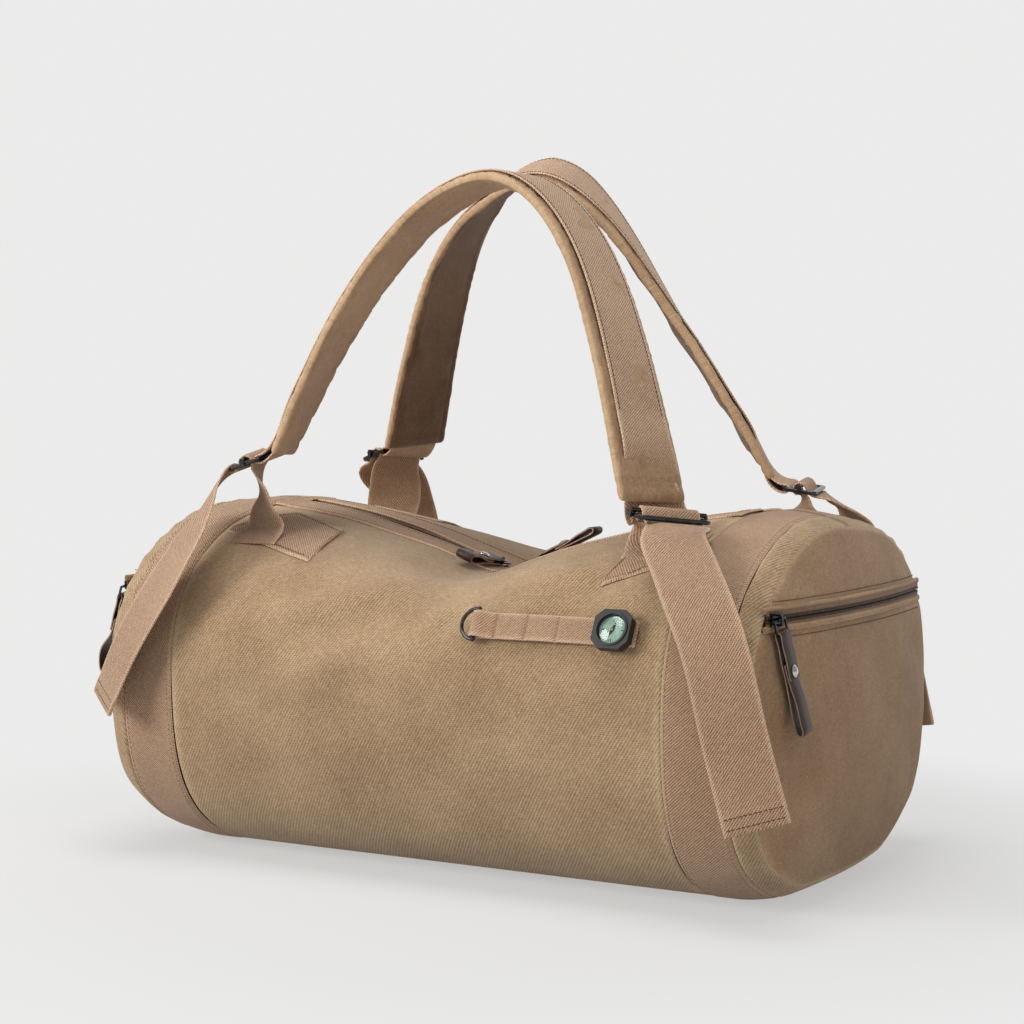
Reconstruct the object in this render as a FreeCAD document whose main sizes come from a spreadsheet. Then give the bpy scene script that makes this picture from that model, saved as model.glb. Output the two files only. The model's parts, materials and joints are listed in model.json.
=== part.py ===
import FreeCAD, Part
import math
import os
import Sketcher

# Barrel duffel bag in waxed canvas with two padded shoulder straps.
# Frame: +X along the bag, -Y to the side with the utility strip, +Z up.
# The origin is the middle of the flat base. All sizes are in millimetres.

V = FreeCAD.Vector
doc = FreeCAD.newDocument("duffel")
sheet = doc.addObject("Spreadsheet::Sheet", "Sizes")

SIZES = (
    # bag body
    ("half_depth", 175.0), ("crown_height", 282.0), ("widest_height", 145.0),
    ("top_power", 2.15), ("base_power", 2.8), ("base_dip", 6.0),
    ("sag_radius", 780.0), ("sag_reach", 300.0), ("valley_radius", 40.0), ("sag_half_width", 168.0),
    ("sag_fade", 1.5),
    ("panel_half_length", 214.7), ("band_start", 215.0), ("band_end", 263.0),
    ("seam_end", 281.0), ("end_scale", 0.96), ("end_bulge", 18.0),
    ("panel_cloth", 3.2), ("gusset_cloth", 2.0), ("webbing", 2.0), ("gap", 0.3),
    # zips
    ("mouth_half_length", 205.0), ("mouth_half_width", 14.0), ("facing_inner", 7.0), ("facing_outer", 38.0),
    ("tape_thick", 0.8), ("tape_depth", 1.6), ("tooth_gap", 0.8), ("tooth_reach", 2.8), ("tooth_half", 1.1),
    ("end_zip_height", 211.0), ("end_zip_gap", 13.0), ("end_zip_half", 147.0), ("end_zip_lift", 1.2),
    # sliders and pulls
    ("slider_len", 12.0), ("slider_half", 4.8), ("plate_thick", 1.1), ("plate_gap", 1.5),
    ("bridge_len", 8.0), ("bridge_rise", 5.0), ("bridge_wide", 2.4),
    ("link_wide", 15.8), ("link_len", 9.5), ("link_wire", 1.4),
    ("pull_len", 72.0), ("main_pull_len", 52.0), ("pull_wide", 15.0), ("leather", 1.7), ("pull_loop", 2.2),
    ("rivet_at", 27.0), ("main_rivet_at", 20.0), ("rivet_head", 4.4), ("rivet_shank", 1.6),
    ("pull_out_left", 24.0), ("pull_out_right", 10.0),
    # straps, buckles and webbing
    ("pad_wide", 62.0), ("pad_thick", 10.0), ("cover", 1.4), ("facing_wide", 49.0), ("facing_thick", 1.6),
    ("buckle_long", 58.0), ("buckle_wide", 27.0), ("buckle_wire", 4.0), ("buckle_thick", 3.2),
    ("bar_dia", 3.4), ("web_wide", 48.0), ("buckle_round", 1.1),
    ("hinge_y", 100.0),
    # utility strip, ring and compass
    ("strip_start", 62.0), ("strip_len", 130.0), ("strip_wide", 20.0), ("strip_thick", 3.0),
    ("strip_height", 198.0), ("ring_wire", 1.4), ("ring_bow", 12.0),
    ("compass_at", 176.0), ("compass_flat", 29.0), ("compass_tall", 7.0), ("compass_bore", 10.4),
    ("dial_radius", 9.6), ("pin_radius", 0.8),
)
num = {}
for row, (name, value) in enumerate(SIZES, start=1):
    sheet.set("A%d" % row, name)
    sheet.set("B%d" % row, repr(value))
    sheet.setAlias("B%d" % row, name)
    num[name] = value
doc.recompute()


class Size:
    """A number with the sheet formula that gives it."""

    def __init__(self, value, text):
        self.v = value
        self.e = text

    @staticmethod
    def of(other):
        return other if isinstance(other, Size) else Size(float(other), repr(float(other)))

    def __add__(self, other):
        o = Size.of(other)
        return Size(self.v + o.v, "(%s + %s)" % (self.e, o.e))

    def __sub__(self, other):
        o = Size.of(other)
        return Size(self.v - o.v, "(%s - %s)" % (self.e, o.e))

    def __mul__(self, other):
        o = Size.of(other)
        return Size(self.v * o.v, "(%s * %s)" % (self.e, o.e))

    def __neg__(self):
        return Size(-self.v, "(-1 * %s)" % self.e)


def S(name):
    return Size(num[name], "Sizes." + name)


def N(name):
    return float(sheet.get(name))


# ---------------------------------------------------------------- solids

def keep(label, shape, place=None):
    """A cloth piece whose shape is a free surface, which no primitive gives."""
    obj = doc.addObject("Part::Feature", label)
    obj.Label = label
    obj.Shape = shape
    if place is not None:
        obj.Placement = place
    NODES[label] = obj
    return obj


NODES = {}


def origin_plane(body, role):
    for feature in body.Origin.OriginFeatures:
        if feature.Role == role:
            return feature
    raise RuntimeError(role)


def new_body(label, place=None):
    body = doc.addObject("PartDesign::Body", label)
    body.Label = label
    if place is not None:
        body.Placement = place
    NODES[label] = body
    return body


def sketch_of(body, name, role):
    sketch = body.newObject("Sketcher::SketchObject", name)
    sketch.AttachmentSupport = [(origin_plane(body, role), "")]
    sketch.MapMode = "FlatFace"
    return sketch


def fix_point(sketch, index, where, x, y):
    for kind, value in (("DistanceX", x), ("DistanceY", y)):
        value = Size.of(value)
        n = sketch.addConstraint(Sketcher.Constraint(kind, -1, 1, index, where, value.v))
        sketch.setExpression("Constraints[%d]" % n, value.e)


def add_loop(sketch, corners):
    """A closed polygon with every corner driven by a formula."""
    pts = [(Size.of(x), Size.of(y)) for x, y in corners]
    first = sketch.GeometryCount
    for i, (x, y) in enumerate(pts):
        x2, y2 = pts[(i + 1) % len(pts)]
        sketch.addGeometry(Part.LineSegment(V(x.v, y.v, 0), V(x2.v, y2.v, 0)), False)
    for i in range(len(pts)):
        sketch.addConstraint(
            Sketcher.Constraint("Coincident", first + i, 2, first + (i + 1) % len(pts), 1))
        fix_point(sketch, first + i, 1, pts[i][0], pts[i][1])


def add_circle(sketch, x, y, r):
    x, y, r = Size.of(x), Size.of(y), Size.of(r)
    i = sketch.addGeometry(Part.Circle(V(x.v, y.v, 0), V(0, 0, 1), r.v), False)
    fix_point(sketch, i, 3, x, y)
    n = sketch.addConstraint(Sketcher.Constraint("Radius", i, r.v))
    sketch.setExpression("Constraints[%d]" % n, r.e)


def pad(body, sketch, name, length, middle=False):
    feature = body.newObject("PartDesign::Pad", name)
    feature.Profile = sketch
    length = Size.of(length)
    feature.Length = length.v
    feature.setExpression("Length", length.e)
    feature.Midplane = middle
    return feature


def rect(x0, x1, y0, y1):
    return ((x0, y0), (x1, y0), (x1, y1), (x0, y1))


def slot_points(half_straight, radius, steps=8):
    """A stadium outline as short chords, standing along the second axis."""
    pts = []
    for k in range(steps + 1):
        a = math.pi * k / steps
        pts.append((radius * math.cos(a), half_straight + radius * math.sin(a)))
    for k in range(steps + 1):
        a = math.pi + math.pi * k / steps
        pts.append((radius * math.cos(a), -half_straight + radius * math.sin(a)))
    return pts


# ---------------------------------------------------------------- body surface

def crown(x):
    """Height of the top centre line: two long arcs meeting in a soft valley."""
    x = abs(x)
    big, reach, small = N("sag_radius"), N("sag_reach"), N("valley_radius")
    if x < reach - reach * big / (big + small):
        base = N("crown_height") - big + math.sqrt((big + small) ** 2 - reach ** 2)
        return base - math.sqrt(small ** 2 - x ** 2)
    return N("crown_height") - big + math.sqrt(big ** 2 - (reach - x) ** 2)


def top_z(x, y):
    wide, high, mid = N("half_depth"), N("crown_height"), N("widest_height")
    rest = max(0.0, 1 - abs(y / wide) ** N("top_power"))
    z = mid + (high - mid) * rest ** (1 / N("top_power"))
    fade = max(0.0, 1 - (y / N("sag_half_width")) ** 2) ** N("sag_fade")
    return z - (high - crown(x)) * fade


def base_z(y):
    rest = max(0.0, 1 - abs(y / N("half_depth")) ** N("base_power"))
    mid = N("widest_height")
    return mid - (mid + N("base_dip")) * rest ** (1 / N("base_power"))


def base_half():
    mid = N("widest_height")
    ratio = mid / (mid + N("base_dip"))
    return N("half_depth") * (1 - ratio ** N("base_power")) ** (1 / N("base_power"))


def girth(x, off, count=40):
    """Points of one side of the section, from the base corner to the crown."""
    wide = N("half_depth")
    pts = []
    corner = base_half()
    for k in range(200):
        a = math.pi / 2 * k / 200
        y = corner + (wide - corner) * math.sin(a)
        pts.append((y, base_z(y)))
    for k in range(201):
        a = math.pi / 2 * k / 200
        y = wide * math.cos(a)
        pts.append((y, top_z(x, y)))
    moved = []
    for i, (y, z) in enumerate(pts):
        y0, z0 = pts[max(i - 1, 0)]
        y1, z1 = pts[min(i + 1, len(pts) - 1)]
        if i == len(pts) - 1:
            y0, z0, y1, z1 = 1, 0, -1, 0
        size = math.hypot(y1 - y0, z1 - z0)
        moved.append((y + off * (z1 - z0) / size, z - off * (y1 - y0) / size))
    run = [0.0]
    for (ya, za), (yb, zb) in zip(moved, moved[1:]):
        run.append(run[-1] + math.hypot(yb - ya, zb - za))
    out = []
    j = 0
    for k in range(count + 1):
        goal = run[-1] * k / count
        while j < len(run) - 2 and run[j + 1] < goal:
            j += 1
        t = (goal - run[j]) / (run[j + 1] - run[j])
        out.append((moved[j][0] + t * (moved[j + 1][0] - moved[j][0]),
                    moved[j][1] + t * (moved[j + 1][1] - moved[j][1])))
    out[-1] = (0.0, out[-1][1])
    return out


def spline(points):
    curve = Part.BSplineCurve()
    last = len(points) - 1
    curve.interpolate(Points=points, Parameters=[i / last for i in range(last + 1)])
    return curve.toShape()


def section(x, off, scale=1.0, at=None, count=16, keel=0.0):
    """Closed section of the bag: a flat base and a spline over the top; a keel is trimmed flat later."""
    mid = N("widest_height")
    side = girth(x, off, count)
    both = side + [(-y, z) for y, z in reversed(side[:-1])]
    at = x if at is None else at
    pts = [V(at, y * scale, mid + (z - mid) * scale) for y, z in both]
    if not keel:
        return Part.Wire([spline(pts), Part.makeLine(pts[-1], pts[0])])
    low = [pts[-1] - V(0, 0, keel), pts[0] - V(0, 0, keel)]
    return Part.Wire([spline(pts), Part.makeLine(pts[-1], low[0]), Part.makeLine(low[0], low[1]),
                      Part.makeLine(low[1], pts[0])])


def tube(stations, outer, inner, keel=0.0):
    """Thin ring; each station is (x, scale)."""
    big = Part.makeLoft([section(x, outer, k, keel=keel) for x, k in stations], True, False)
    if keel:
        big = big.cut(Part.makeBox(800, 800, 50, V(-400, -400, -50)))
    small = Part.makeLoft([section(x, inner, k) for x, k in stations], True, False)
    return big.cut(small)


def box(x0, x1, y0, y1, z0, z1):
    return Part.makeBox(x1 - x0, y1 - y0, z1 - z0, V(x0, y0, z0))


def mirror(shape):
    return shape.mirror(V(0, 0, 0), V(1, 0, 0))


def flip(shape):
    return shape.mirror(V(0, 0, 0), V(0, 1, 0))


web, gap = N("webbing"), N("gap")
half, b0, b1, seam = N("panel_half_length"), N("band_start"), N("band_end"), N("seam_end")

spots = (195, 172, 150, 125, 100, 66, 36, 14)
stations = [(-half, 1)] + [(-x, 1) for x in spots] + [(0, 1)] + [(x, 1) for x in reversed(spots)] + [(half, 1)]
under = -(web + gap)
panel = tube(stations, 0, -N("panel_cloth"), 1.0)
lip = tube([(half - 8, 1), (238, 1), (b1 - 1, 1)], under, under - N("gusset_cloth"))
panel = panel.fuse(lip).fuse(mirror(lip))
mouth = N("mouth_half_width")
panel = panel.cut(box(-N("mouth_half_length"), N("mouth_half_length"), -mouth, mouth, 150, 400))
keep("main_panel", panel.removeSplitter())

band = tube([(b0, 1), (239, 1), (b1, 1)], 0, -web, 1.0)
keep("band_right", band)
keep("band_left", mirror(band))

k1 = N("end_scale")
gusset = tube([(b1 + gap, 1), (272, 0.5 + k1 / 2), (seam, k1)], 0, -N("gusset_cloth"))
keep("gusset_right", gusset)
keep("gusset_left", mirror(gusset))

# Domed end panels, split by the pocket zip.
dome_x = seam + gap


def dome(shift):
    wires = []
    for rho in (1.0, 0.93, 0.8, 0.62, 0.4, 0.2):
        x = dome_x + N("end_bulge") * (1 - rho ** 2) + shift
        wires.append(section(seam, 0, k1 * rho, at=x))
    return Part.makeLoft(wires, True, False)


def dome_at(y, z):
    """Outer face of the end panel at a height and depth."""
    mid = N("widest_height")
    lo, hi = 0.0, 1.0
    for _ in range(40):
        rho = (lo + hi) / 2
        inside = abs(y / (k1 * rho)) < N("half_depth") - 0.01
        inside = inside and mid + (z - mid) / (k1 * rho) < top_z(seam, y / (k1 * rho))
        lo, hi = (lo, rho) if inside else (rho, hi)
    return dome_x + N("end_bulge") * (1 - hi ** 2)


shell = dome(0).cut(dome(-N("gusset_cloth")))
zip_z, zip_gap = N("end_zip_height"), N("end_zip_gap") / 2
upper = shell.common(box(250, 350, -200, 200, zip_z + zip_gap, 400))
lower = shell.common(box(250, 350, -200, 200, -10, zip_z - zip_gap))
keep("end_upper_right", upper)
keep("end_lower_right", lower)
keep("end_upper_left", mirror(upper))
keep("end_lower_left", mirror(lower))

divider = Part.Face(section(seam, -4, 0.97, at=266)).extrude(V(1.2, 0, 0))
keep("pocket_dividers", Part.makeCompound([divider, mirror(divider)]))

# ---------------------------------------------------------------- zips


def arc_strip(centre, axis, radial, r0, r1, s0, s1, a0, a1):
    """Rectangle swept round an axis: angles are from +Z or +X, toward +X or +Y."""
    def spot(r, s):
        if axis == "Y":
            return V(centre[0] + r * math.sin(a0), s, centre[1] + r * math.cos(a0))
        return V(centre[0] + r * math.cos(a0), centre[1] + r * math.sin(a0), s)
    loop = Part.makePolygon([spot(r0, s0), spot(r1, s0), spot(r1, s1), spot(r0, s1), spot(r0, s0)])
    base = V(centre[0], 0, centre[1]) if axis == "Y" else V(centre[0], centre[1], 0)
    turn = V(0, 1, 0) if axis == "Y" else V(0, 0, 1)
    return Part.Face(loop).revolve(base, turn, math.degrees(a1 - a0))


sag_r, reach, valley = N("sag_radius"), N("sag_reach"), N("valley_radius")
sag_z = N("crown_height") - sag_r
meet = math.asin(reach / (sag_r + valley))
end_a = math.asin((reach - N("mouth_half_length") + 2) / sag_r)
valley_z = sag_z + math.sqrt((sag_r + valley) ** 2 - reach ** 2)


def along_mouth(low, high, s0, s1):
    """Strip that follows the sagging mouth, between two offsets from the crown line."""
    left = arc_strip((-reach, sag_z), "Y", None, sag_r + low, sag_r + high, s0, s1, end_a, meet)
    right = arc_strip((reach, sag_z), "Y", None, sag_r + low, sag_r + high, s0, s1, -meet, -end_a)
    dip = arc_strip((0, valley_z), "Y", None, valley - high, valley - low, s0, s1, math.pi - meet, math.pi + meet)
    return left.fuse(dip).fuse(right)


deep = N("tape_depth")
tape = along_mouth(-deep, -deep + N("tape_thick"), N("tooth_reach") + gap, mouth - gap)
keep("main_zip_tapes", Part.makeCompound([tape, flip(tape)]))
mid_t = -deep + N("tape_thick") / 2
teeth = along_mouth(mid_t - N("tooth_half"), mid_t + N("tooth_half"), N("tooth_gap"), N("tooth_reach"))
keep("main_zip_teeth", Part.makeCompound([teeth, flip(teeth)]))


def skin(stations, near, far, low, high, steps=8, ruled=False):
    """Cloth laid on the top of the bag between two edges given as depth at each station."""
    wires = []
    for x in stations:
        ya, yb = near(x), far(x)
        under_pts, over_pts = [], []
        for i in range(steps + 1):
            y = ya + (yb - ya) * i / steps
            slope = (top_z(x, y + 0.5) - top_z(x, y - 0.5))
            size = math.hypot(1, slope)
            for off, pts in ((low, under_pts), (high, over_pts)):
                pts.append(V(x, y - off * slope / size, top_z(x, y) + off / size))
        a, b = spline(under_pts), spline(list(reversed(over_pts)))
        sides = [a, Part.makeLine(under_pts[-1], over_pts[-1]), b, Part.makeLine(over_pts[0], under_pts[0])]
        wires.append(Part.Wire(sides))
    return Part.makeLoft(wires, True, ruled)


long_spots = [s[0] for s in stations]
long_spots[0], long_spots[-1] = -N("mouth_half_length"), N("mouth_half_length")
facing = skin(long_spots, lambda x: N("facing_inner"), lambda x: N("facing_outer"), gap + 0.2, gap + 1.3)
keep("zip_facings", Part.makeCompound([facing, flip(facing)]))


def between(table):
    """Straight edges through typed corners (x, depth)."""
    def edge(x):
        for (x0, y0), (x1, y1) in zip(table, table[1:]):
            if x <= x1:
                return y0 + (y1 - y0) * (x - x0) / (x1 - x0)
        return table[-1][1]
    return edge


# Reinforcement patches: the outer edge and the edge nearer the mouth, as (x, y) corners.
left_low = between([(-210, -108), (-112, -132)])
left_high = between([(-210, -104), (-176, -54), (-118, -75), (-112, -122)])
left_at = [-210, -193, -176, -157, -138, -118]
right_low = between([(150, -141), (212, -118)])
right_high = between([(150, -137), (178, -62), (212, -84)])
right_at = [154, 160, 169, 178, 190, 202, 212]
patch_l = skin(left_at, left_low, left_high, gap + 0.5, gap + 1.7, ruled=True)
patch_r = skin(right_at, right_low, right_high, gap + 0.5, gap + 1.7, ruled=True)
keep("patches_front", Part.makeCompound([patch_l, patch_r]))
keep("patches_rear", Part.makeCompound([flip(patch_l), flip(patch_r)]))

# End pocket zips follow a level arc fitted to the domed end.
zip_half = N("end_zip_half")
rise = dome_at(0, zip_z) - dome_at(zip_half, zip_z)
zip_r = (zip_half ** 2 + rise ** 2) / (2 * rise)
zip_cx = dome_at(0, zip_z) - zip_r
zip_r = zip_r + N("end_zip_lift")
zip_a = math.asin(zip_half / zip_r)


def end_strip(low, high, z0, z1, trim=0.0):
    turn = zip_a - trim / zip_r
    return arc_strip((zip_cx, 0), "Z", None, zip_r + low, zip_r + high, z0, z1, -turn, turn)


end_tapes, end_teeth = [], []
for s in (-1, 1):
    zs = sorted((zip_z + s * (N("tooth_reach") + gap), zip_z + s * (zip_gap - gap)))
    end_tapes.append(end_strip(-deep, -deep + N("tape_thick"), zs[0], zs[1]))
    zs = sorted((zip_z + s * N("tooth_gap"), zip_z + s * N("tooth_reach")))
    end_teeth.append(end_strip(mid_t - N("tooth_half"), mid_t + N("tooth_half"), zs[0], zs[1], 2.5))
for name, parts in (("end_zip_tapes", end_tapes), ("end_zip_teeth", end_teeth)):
    whole = Part.makeCompound(parts)
    keep(name + "_right", whole)
    keep(name + "_left", mirror(whole))

# ---------------------------------------------------------------- sliders and pulls
# Slider frame: x along the zip, y across it, z out of the bag, origin on the tape's middle.


def frame_at(origin, x_axis, z_axis):
    x_axis = V(x_axis).normalize()
    z_axis = V(z_axis).normalize()
    y_axis = z_axis.cross(x_axis)
    m = FreeCAD.Matrix(x_axis.x, y_axis.x, z_axis.x, origin.x,
                       x_axis.y, y_axis.y, z_axis.y, origin.y,
                       x_axis.z, y_axis.z, z_axis.z, origin.z, 0, 0, 0, 1)
    return FreeCAD.Placement(m)


def slider(label, place, bridge_plane="XZ_Plane"):
    """Zip slider; the bridge stands along the zip, or across it for a pull that hangs."""
    body = new_body(label, place)
    w, g, t = S("slider_half"), S("plate_gap"), S("plate_thick")
    post = S("tooth_gap") - S("gap")
    wall = 0.8
    prof = sketch_of(body, label + "_section", "YZ_Plane")
    add_loop(prof, (
        (-w, g + t), (-w, 0.75), (-w + wall, 0.75), (-w + wall, g), (-post, g), (-post, -g),
        (-w + wall, -g), (-w + wall, -0.75), (-w, -0.75), (-w, -g - t), (w, -g - t), (w, -0.75),
        (w - wall, -0.75), (w - wall, -g), (post, -g), (post, g), (w - wall, g), (w - wall, 0.75),
        (w, 0.75), (w, g + t)))
    pad(body, prof, label + "_plates", S("slider_len"), True)
    arch = sketch_of(body, label + "_bridge_line", bridge_plane)
    a, r = S("bridge_len") * 0.5, S("bridge_rise")
    foot = g + t - 0.3
    top = g + t + r
    add_loop(arch, ((-a, foot), (-a, top - 1.2), (-a + 1.2, top), (a - 1.2, top), (a, top - 1.2), (a, foot),
                    (a - 1.3, foot), (a - 1.3, top - 1.3), (-a + 1.3, top - 1.3), (-a + 1.3, foot)))
    pad(body, arch, label + "_bridge", S("bridge_wide"), True)
    return body


# Pull frame: origin on the bridge bar, x toward the free end, y across, z out of the bag.

def link(label, place):
    body = new_body(label, place)
    w, l, d = S("link_wide") * 0.5 + S("link_wire"), S("link_len"), S("link_wire")
    flat = sketch_of(body, label + "_outline", "XY_Plane")
    add_loop(flat, rect(-d * 0.5, l + d * 0.5, -w, w))
    add_loop(flat, rect(d * 0.5, l - d * 0.5, -w + d, w - d))
    pad(body, flat, label + "_wire", d, True)
    return body


def leather_pull(label, place, length, rivet_at):
    """Strap folded into a long loop, nipped together by the rivet."""
    body = new_body(label, place)
    t, r = S("leather"), S("pull_loop") * 0.5
    start, end = S("link_len"), S("link_len") + S(length)
    outline = sketch_of(body, label + "_edge", "XZ_Plane")
    outer, inner = [], []
    for grow, out in ((r + t, outer), (r, inner)):
        for k in range(7):
            a = math.pi / 2 + math.pi * k / 6
            out.append((start + grow * math.cos(a), grow * math.sin(a)))
        for k in range(7):
            a = -math.pi / 2 + math.pi * k / 6
            out.append((end + grow * math.cos(a), grow * math.sin(a)))
    add_loop(outline, outer)
    add_loop(outline, inner)
    pad(body, outline, label + "_strap", S("pull_wide"), True)
    hole = sketch_of(body, label + "_hole_line", "XY_Plane")
    add_circle(hole, start + S(rivet_at), 0, S("rivet_shank") + 0.1)
    cut = body.newObject("PartDesign::Pocket", label + "_hole")
    cut.Profile = hole
    cut.Type = 1
    cut.Midplane = True
    return body


def rivet(label, place):
    body = new_body(label, place)
    half_stack = S("pull_loop") * 0.5 + S("leather")
    prof = sketch_of(body, label + "_half", "XZ_Plane")
    head, shank = S("rivet_head"), S("rivet_shank")
    lift = half_stack + 0.05
    add_loop(prof, ((0, -lift - 1.0), (head - 0.8, -lift - 1.0), (head, -lift - 0.3), (head, -lift), (shank, -lift),
                    (shank, lift), (head, lift), (head, lift + 0.4), (head * 0.6, lift + 1.5), (0, lift + 1.9)))
    turn = body.newObject("PartDesign::Revolution", label + "_turn")
    turn.Profile = prof
    turn.ReferenceAxis = (prof, ["V_Axis"])
    turn.Angle = 360
    return body


def pull_set(tag, place, length, rivet_at):
    link("pull_link_" + tag, place)
    leather_pull("pull_" + tag, place, length, rivet_at)
    at = place.multiply(FreeCAD.Placement(V(N("link_len") + N(rivet_at), 0, 0), FreeCAD.Rotation()))
    rivet("pull_rivet_" + tag, at)


HINGES, TURNS = {}, {}
bar_h = N("plate_gap") + N("plate_thick") + N("bridge_rise") - 1.3 - N("link_wire") / 2 - 0.4
rest_x = 18.0
for tag, side in (("main_left", -1), ("main_right", 1)):
    angle = math.asin((reach - rest_x) / sag_r)
    outward = V(-side * math.sin(angle), 0, math.cos(angle))
    along = V(side * math.cos(angle), 0, math.sin(angle))
    base = V(side * reach, 0, sag_z) + outward * (sag_r + mid_t)
    bar = base + outward * bar_h
    # The right pull lies along the zip; the left one lies across it, toward the front.
    slider("slider_" + tag, frame_at(base, along, outward), "XZ_Plane" if side > 0 else "YZ_Plane")
    lean = math.radians(5 if side > 0 else 7)
    flat = along if side > 0 else V(0, -1, 0)
    away = flat * math.cos(lean) + outward * math.sin(lean)
    lift = outward * math.cos(lean) - flat * math.sin(lean)
    pull_set(tag, frame_at(bar, away, lift), "main_pull_len", "main_rivet_at")
    HINGES[tag] = bar
    TURNS[tag] = away.cross(lift)

for tag, side in (("end_left", -1), ("end_right", 1)):
    angle = math.asin((zip_half - N("slider_len") / 2 - 3.5) / zip_r)
    outward = V(side * math.cos(angle), -math.sin(angle), 0)
    along = V(side * math.sin(angle), math.cos(angle), 0)
    base = V(side * zip_cx, 0, zip_z) + outward * (zip_r + mid_t)
    slider("slider_" + tag, frame_at(base, along, outward), "YZ_Plane")
    bar = base + outward * (bar_h - 0.35)
    out_lean, back_lean = math.radians(N("pull_out_" + tag[4:])), math.radians(9)
    down = V(side * math.sin(out_lean), math.sin(back_lean), -math.cos(out_lean))
    face = V(side, 0, 0)
    face = face - down.normalize() * face.dot(down)
    pull_set(tag, frame_at(bar, down, face), "pull_len", "rivet_at")
    HINGES[tag] = bar
    TURNS[tag] = down.cross(face)

# ---------------------------------------------------------------- utility strip, ring and compass
lo, hi = 100.0, 174.0
for _ in range(50):
    m = (lo + hi) / 2
    lo, hi = (m, hi) if top_z(130, m) > N("strip_height") else (lo, m)
slope = (top_z(130, lo + 0.5) - top_z(130, lo - 0.5))
normal = V(0, slope, 1).normalize()
face_point = V(0, -lo, N("strip_height"))
# Local frame: x along the bag, y up the cloth, z out of it.


def on_face(x, lift=0.0):
    return frame_at(V(x, 0, 0) + face_point + normal * lift, V(1, 0, 0), normal)


strip = new_body("utility_strip", on_face(N("strip_start")))
edge = sketch_of(strip, "utility_strip_edge", "XZ_Plane")
t2 = S("strip_thick")
ring_c = S("gap") + 1.5 + S("ring_wire") + 0.3
nose = []
big = S("ring_wire") + 0.3 + 1.5
for k in range(9):
    a = math.pi / 2 + math.pi * k / 8
    nose.append((big * math.cos(a), ring_c + big * math.sin(a)))
add_loop(edge, nose + [(S("strip_len"), S("gap")), (S("strip_len"), S("gap") + t2), (14, S("gap") + t2)])
add_circle(edge, 0, ring_c, S("ring_wire") + 0.3)
pad(strip, edge, "utility_strip_web", S("strip_wide"), True)

ring_place = on_face(N("strip_start"), ring_c.v)
bow = doc.addObject("Part::Torus", "ring_bow_part")
bow.setExpression("Radius1", "Sizes.ring_bow")
bow.setExpression("Radius2", "Sizes.ring_wire")
bow.Angle3 = 180
bow.Placement = FreeCAD.Placement(V(0, 0, 0), FreeCAD.Rotation(V(0, 0, 1), 90))
bar = doc.addObject("Part::Cylinder", "ring_bar_part")
bar.setExpression("Radius", "Sizes.ring_wire")
bar.setExpression("Height", "Sizes.ring_bow * 2")
bar.Placement = FreeCAD.Placement(V(0, N("ring_bow"), 0), FreeCAD.Rotation(V(1, 0, 0), 90))
ends = []
for s in (-1, 1):
    ball = doc.addObject("Part::Sphere", "ring_ball_%s" % ("low" if s < 0 else "high"))
    ball.setExpression("Radius", "Sizes.ring_wire + 0.25")
    ball.Placement = FreeCAD.Placement(V(0, s * N("ring_bow"), 0), FreeCAD.Rotation())
    ends.append(ball)
ring = doc.addObject("Part::MultiFuse", "d_ring")
ring.Label = "d_ring"
ring.Shapes = [bow, bar] + ends
ring.Placement = ring_place
NODES["d_ring"] = ring

cx = N("compass_at")
seat = N("gap") + N("strip_thick") + 0.1
case = new_body("compass_housing", on_face(cx, seat))
plan = sketch_of(case, "compass_plan", "XY_Plane")
h = S("compass_flat") * 0.5
c = h * 0.58
add_loop(plan, ((h, -c), (h, c), (c, h), (-c, h), (-h, c), (-h, -c), (-c, -h), (c, -h)))
pad(case, plan, "compass_block", S("compass_tall"))
doc.recompute()
well = sketch_of(case, "compass_well_line", "XZ_Plane")
bore, tall = S("compass_bore"), S("compass_tall")
add_loop(well, ((0, 2), (bore, 2), (bore, tall - 1.6), (bore + 0.6, tall - 1.6), (bore + 0.6, tall + 1), (0, tall + 1)))
groove = case.newObject("PartDesign::Groove", "compass_well")
groove.Profile = well
groove.ReferenceAxis = (well, ["V_Axis"])
groove.Angle = 360

pin = new_body("compass_pivot", on_face(cx, seat + 2.05))
pin_plan = sketch_of(pin, "pivot_plan", "XY_Plane")
add_circle(pin_plan, 0, 0, S("pin_radius"))
pad(pin, pin_plan, "pivot_pin", 2.6)

dial = new_body("compass_dial", on_face(cx, seat + 3.1))
dial_plan = sketch_of(dial, "dial_plan", "XY_Plane")
add_circle(dial_plan, 0, 0, S("dial_radius"))
add_circle(dial_plan, 0, 0, S("pin_radius") + 0.05)
pad(dial, dial_plan, "dial_card", 0.9)

lens = new_body("compass_lens", on_face(cx, seat + N("compass_tall") - 1.55))
lens_half = sketch_of(lens, "lens_half", "XZ_Plane")
lr = S("compass_bore") + 0.5
add_loop(lens_half, ((0, 0), (lr, 0), (lr, 0.9), (lr * 0.85, 1.7), (lr * 0.6, 2.4), (lr * 0.3, 2.8), (0, 2.9)))
lens_turn = lens.newObject("PartDesign::Revolution", "lens_turn")
lens_turn.Profile = lens_half
lens_turn.ReferenceAxis = (lens_half, ["V_Axis"])
lens_turn.Angle = 360

bezel = new_body("compass_bezel", on_face(cx, seat + N("compass_tall") + 0.05))
bezel_plan = sketch_of(bezel, "bezel_plan", "XY_Plane")
add_circle(bezel_plan, 0, 0, lr + 1.6)
add_circle(bezel_plan, 0, 0, lr + 0.1)
pad(bezel, bezel_plan, "bezel_ring", 0.8)

# ---------------------------------------------------------------- straps


def smooth(points, count):
    """Even points on the spline through typed corners."""
    curve = Part.BSplineCurve()
    curve.interpolate([V(*p) for p in points])
    return curve.discretize(Number=count)


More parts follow.
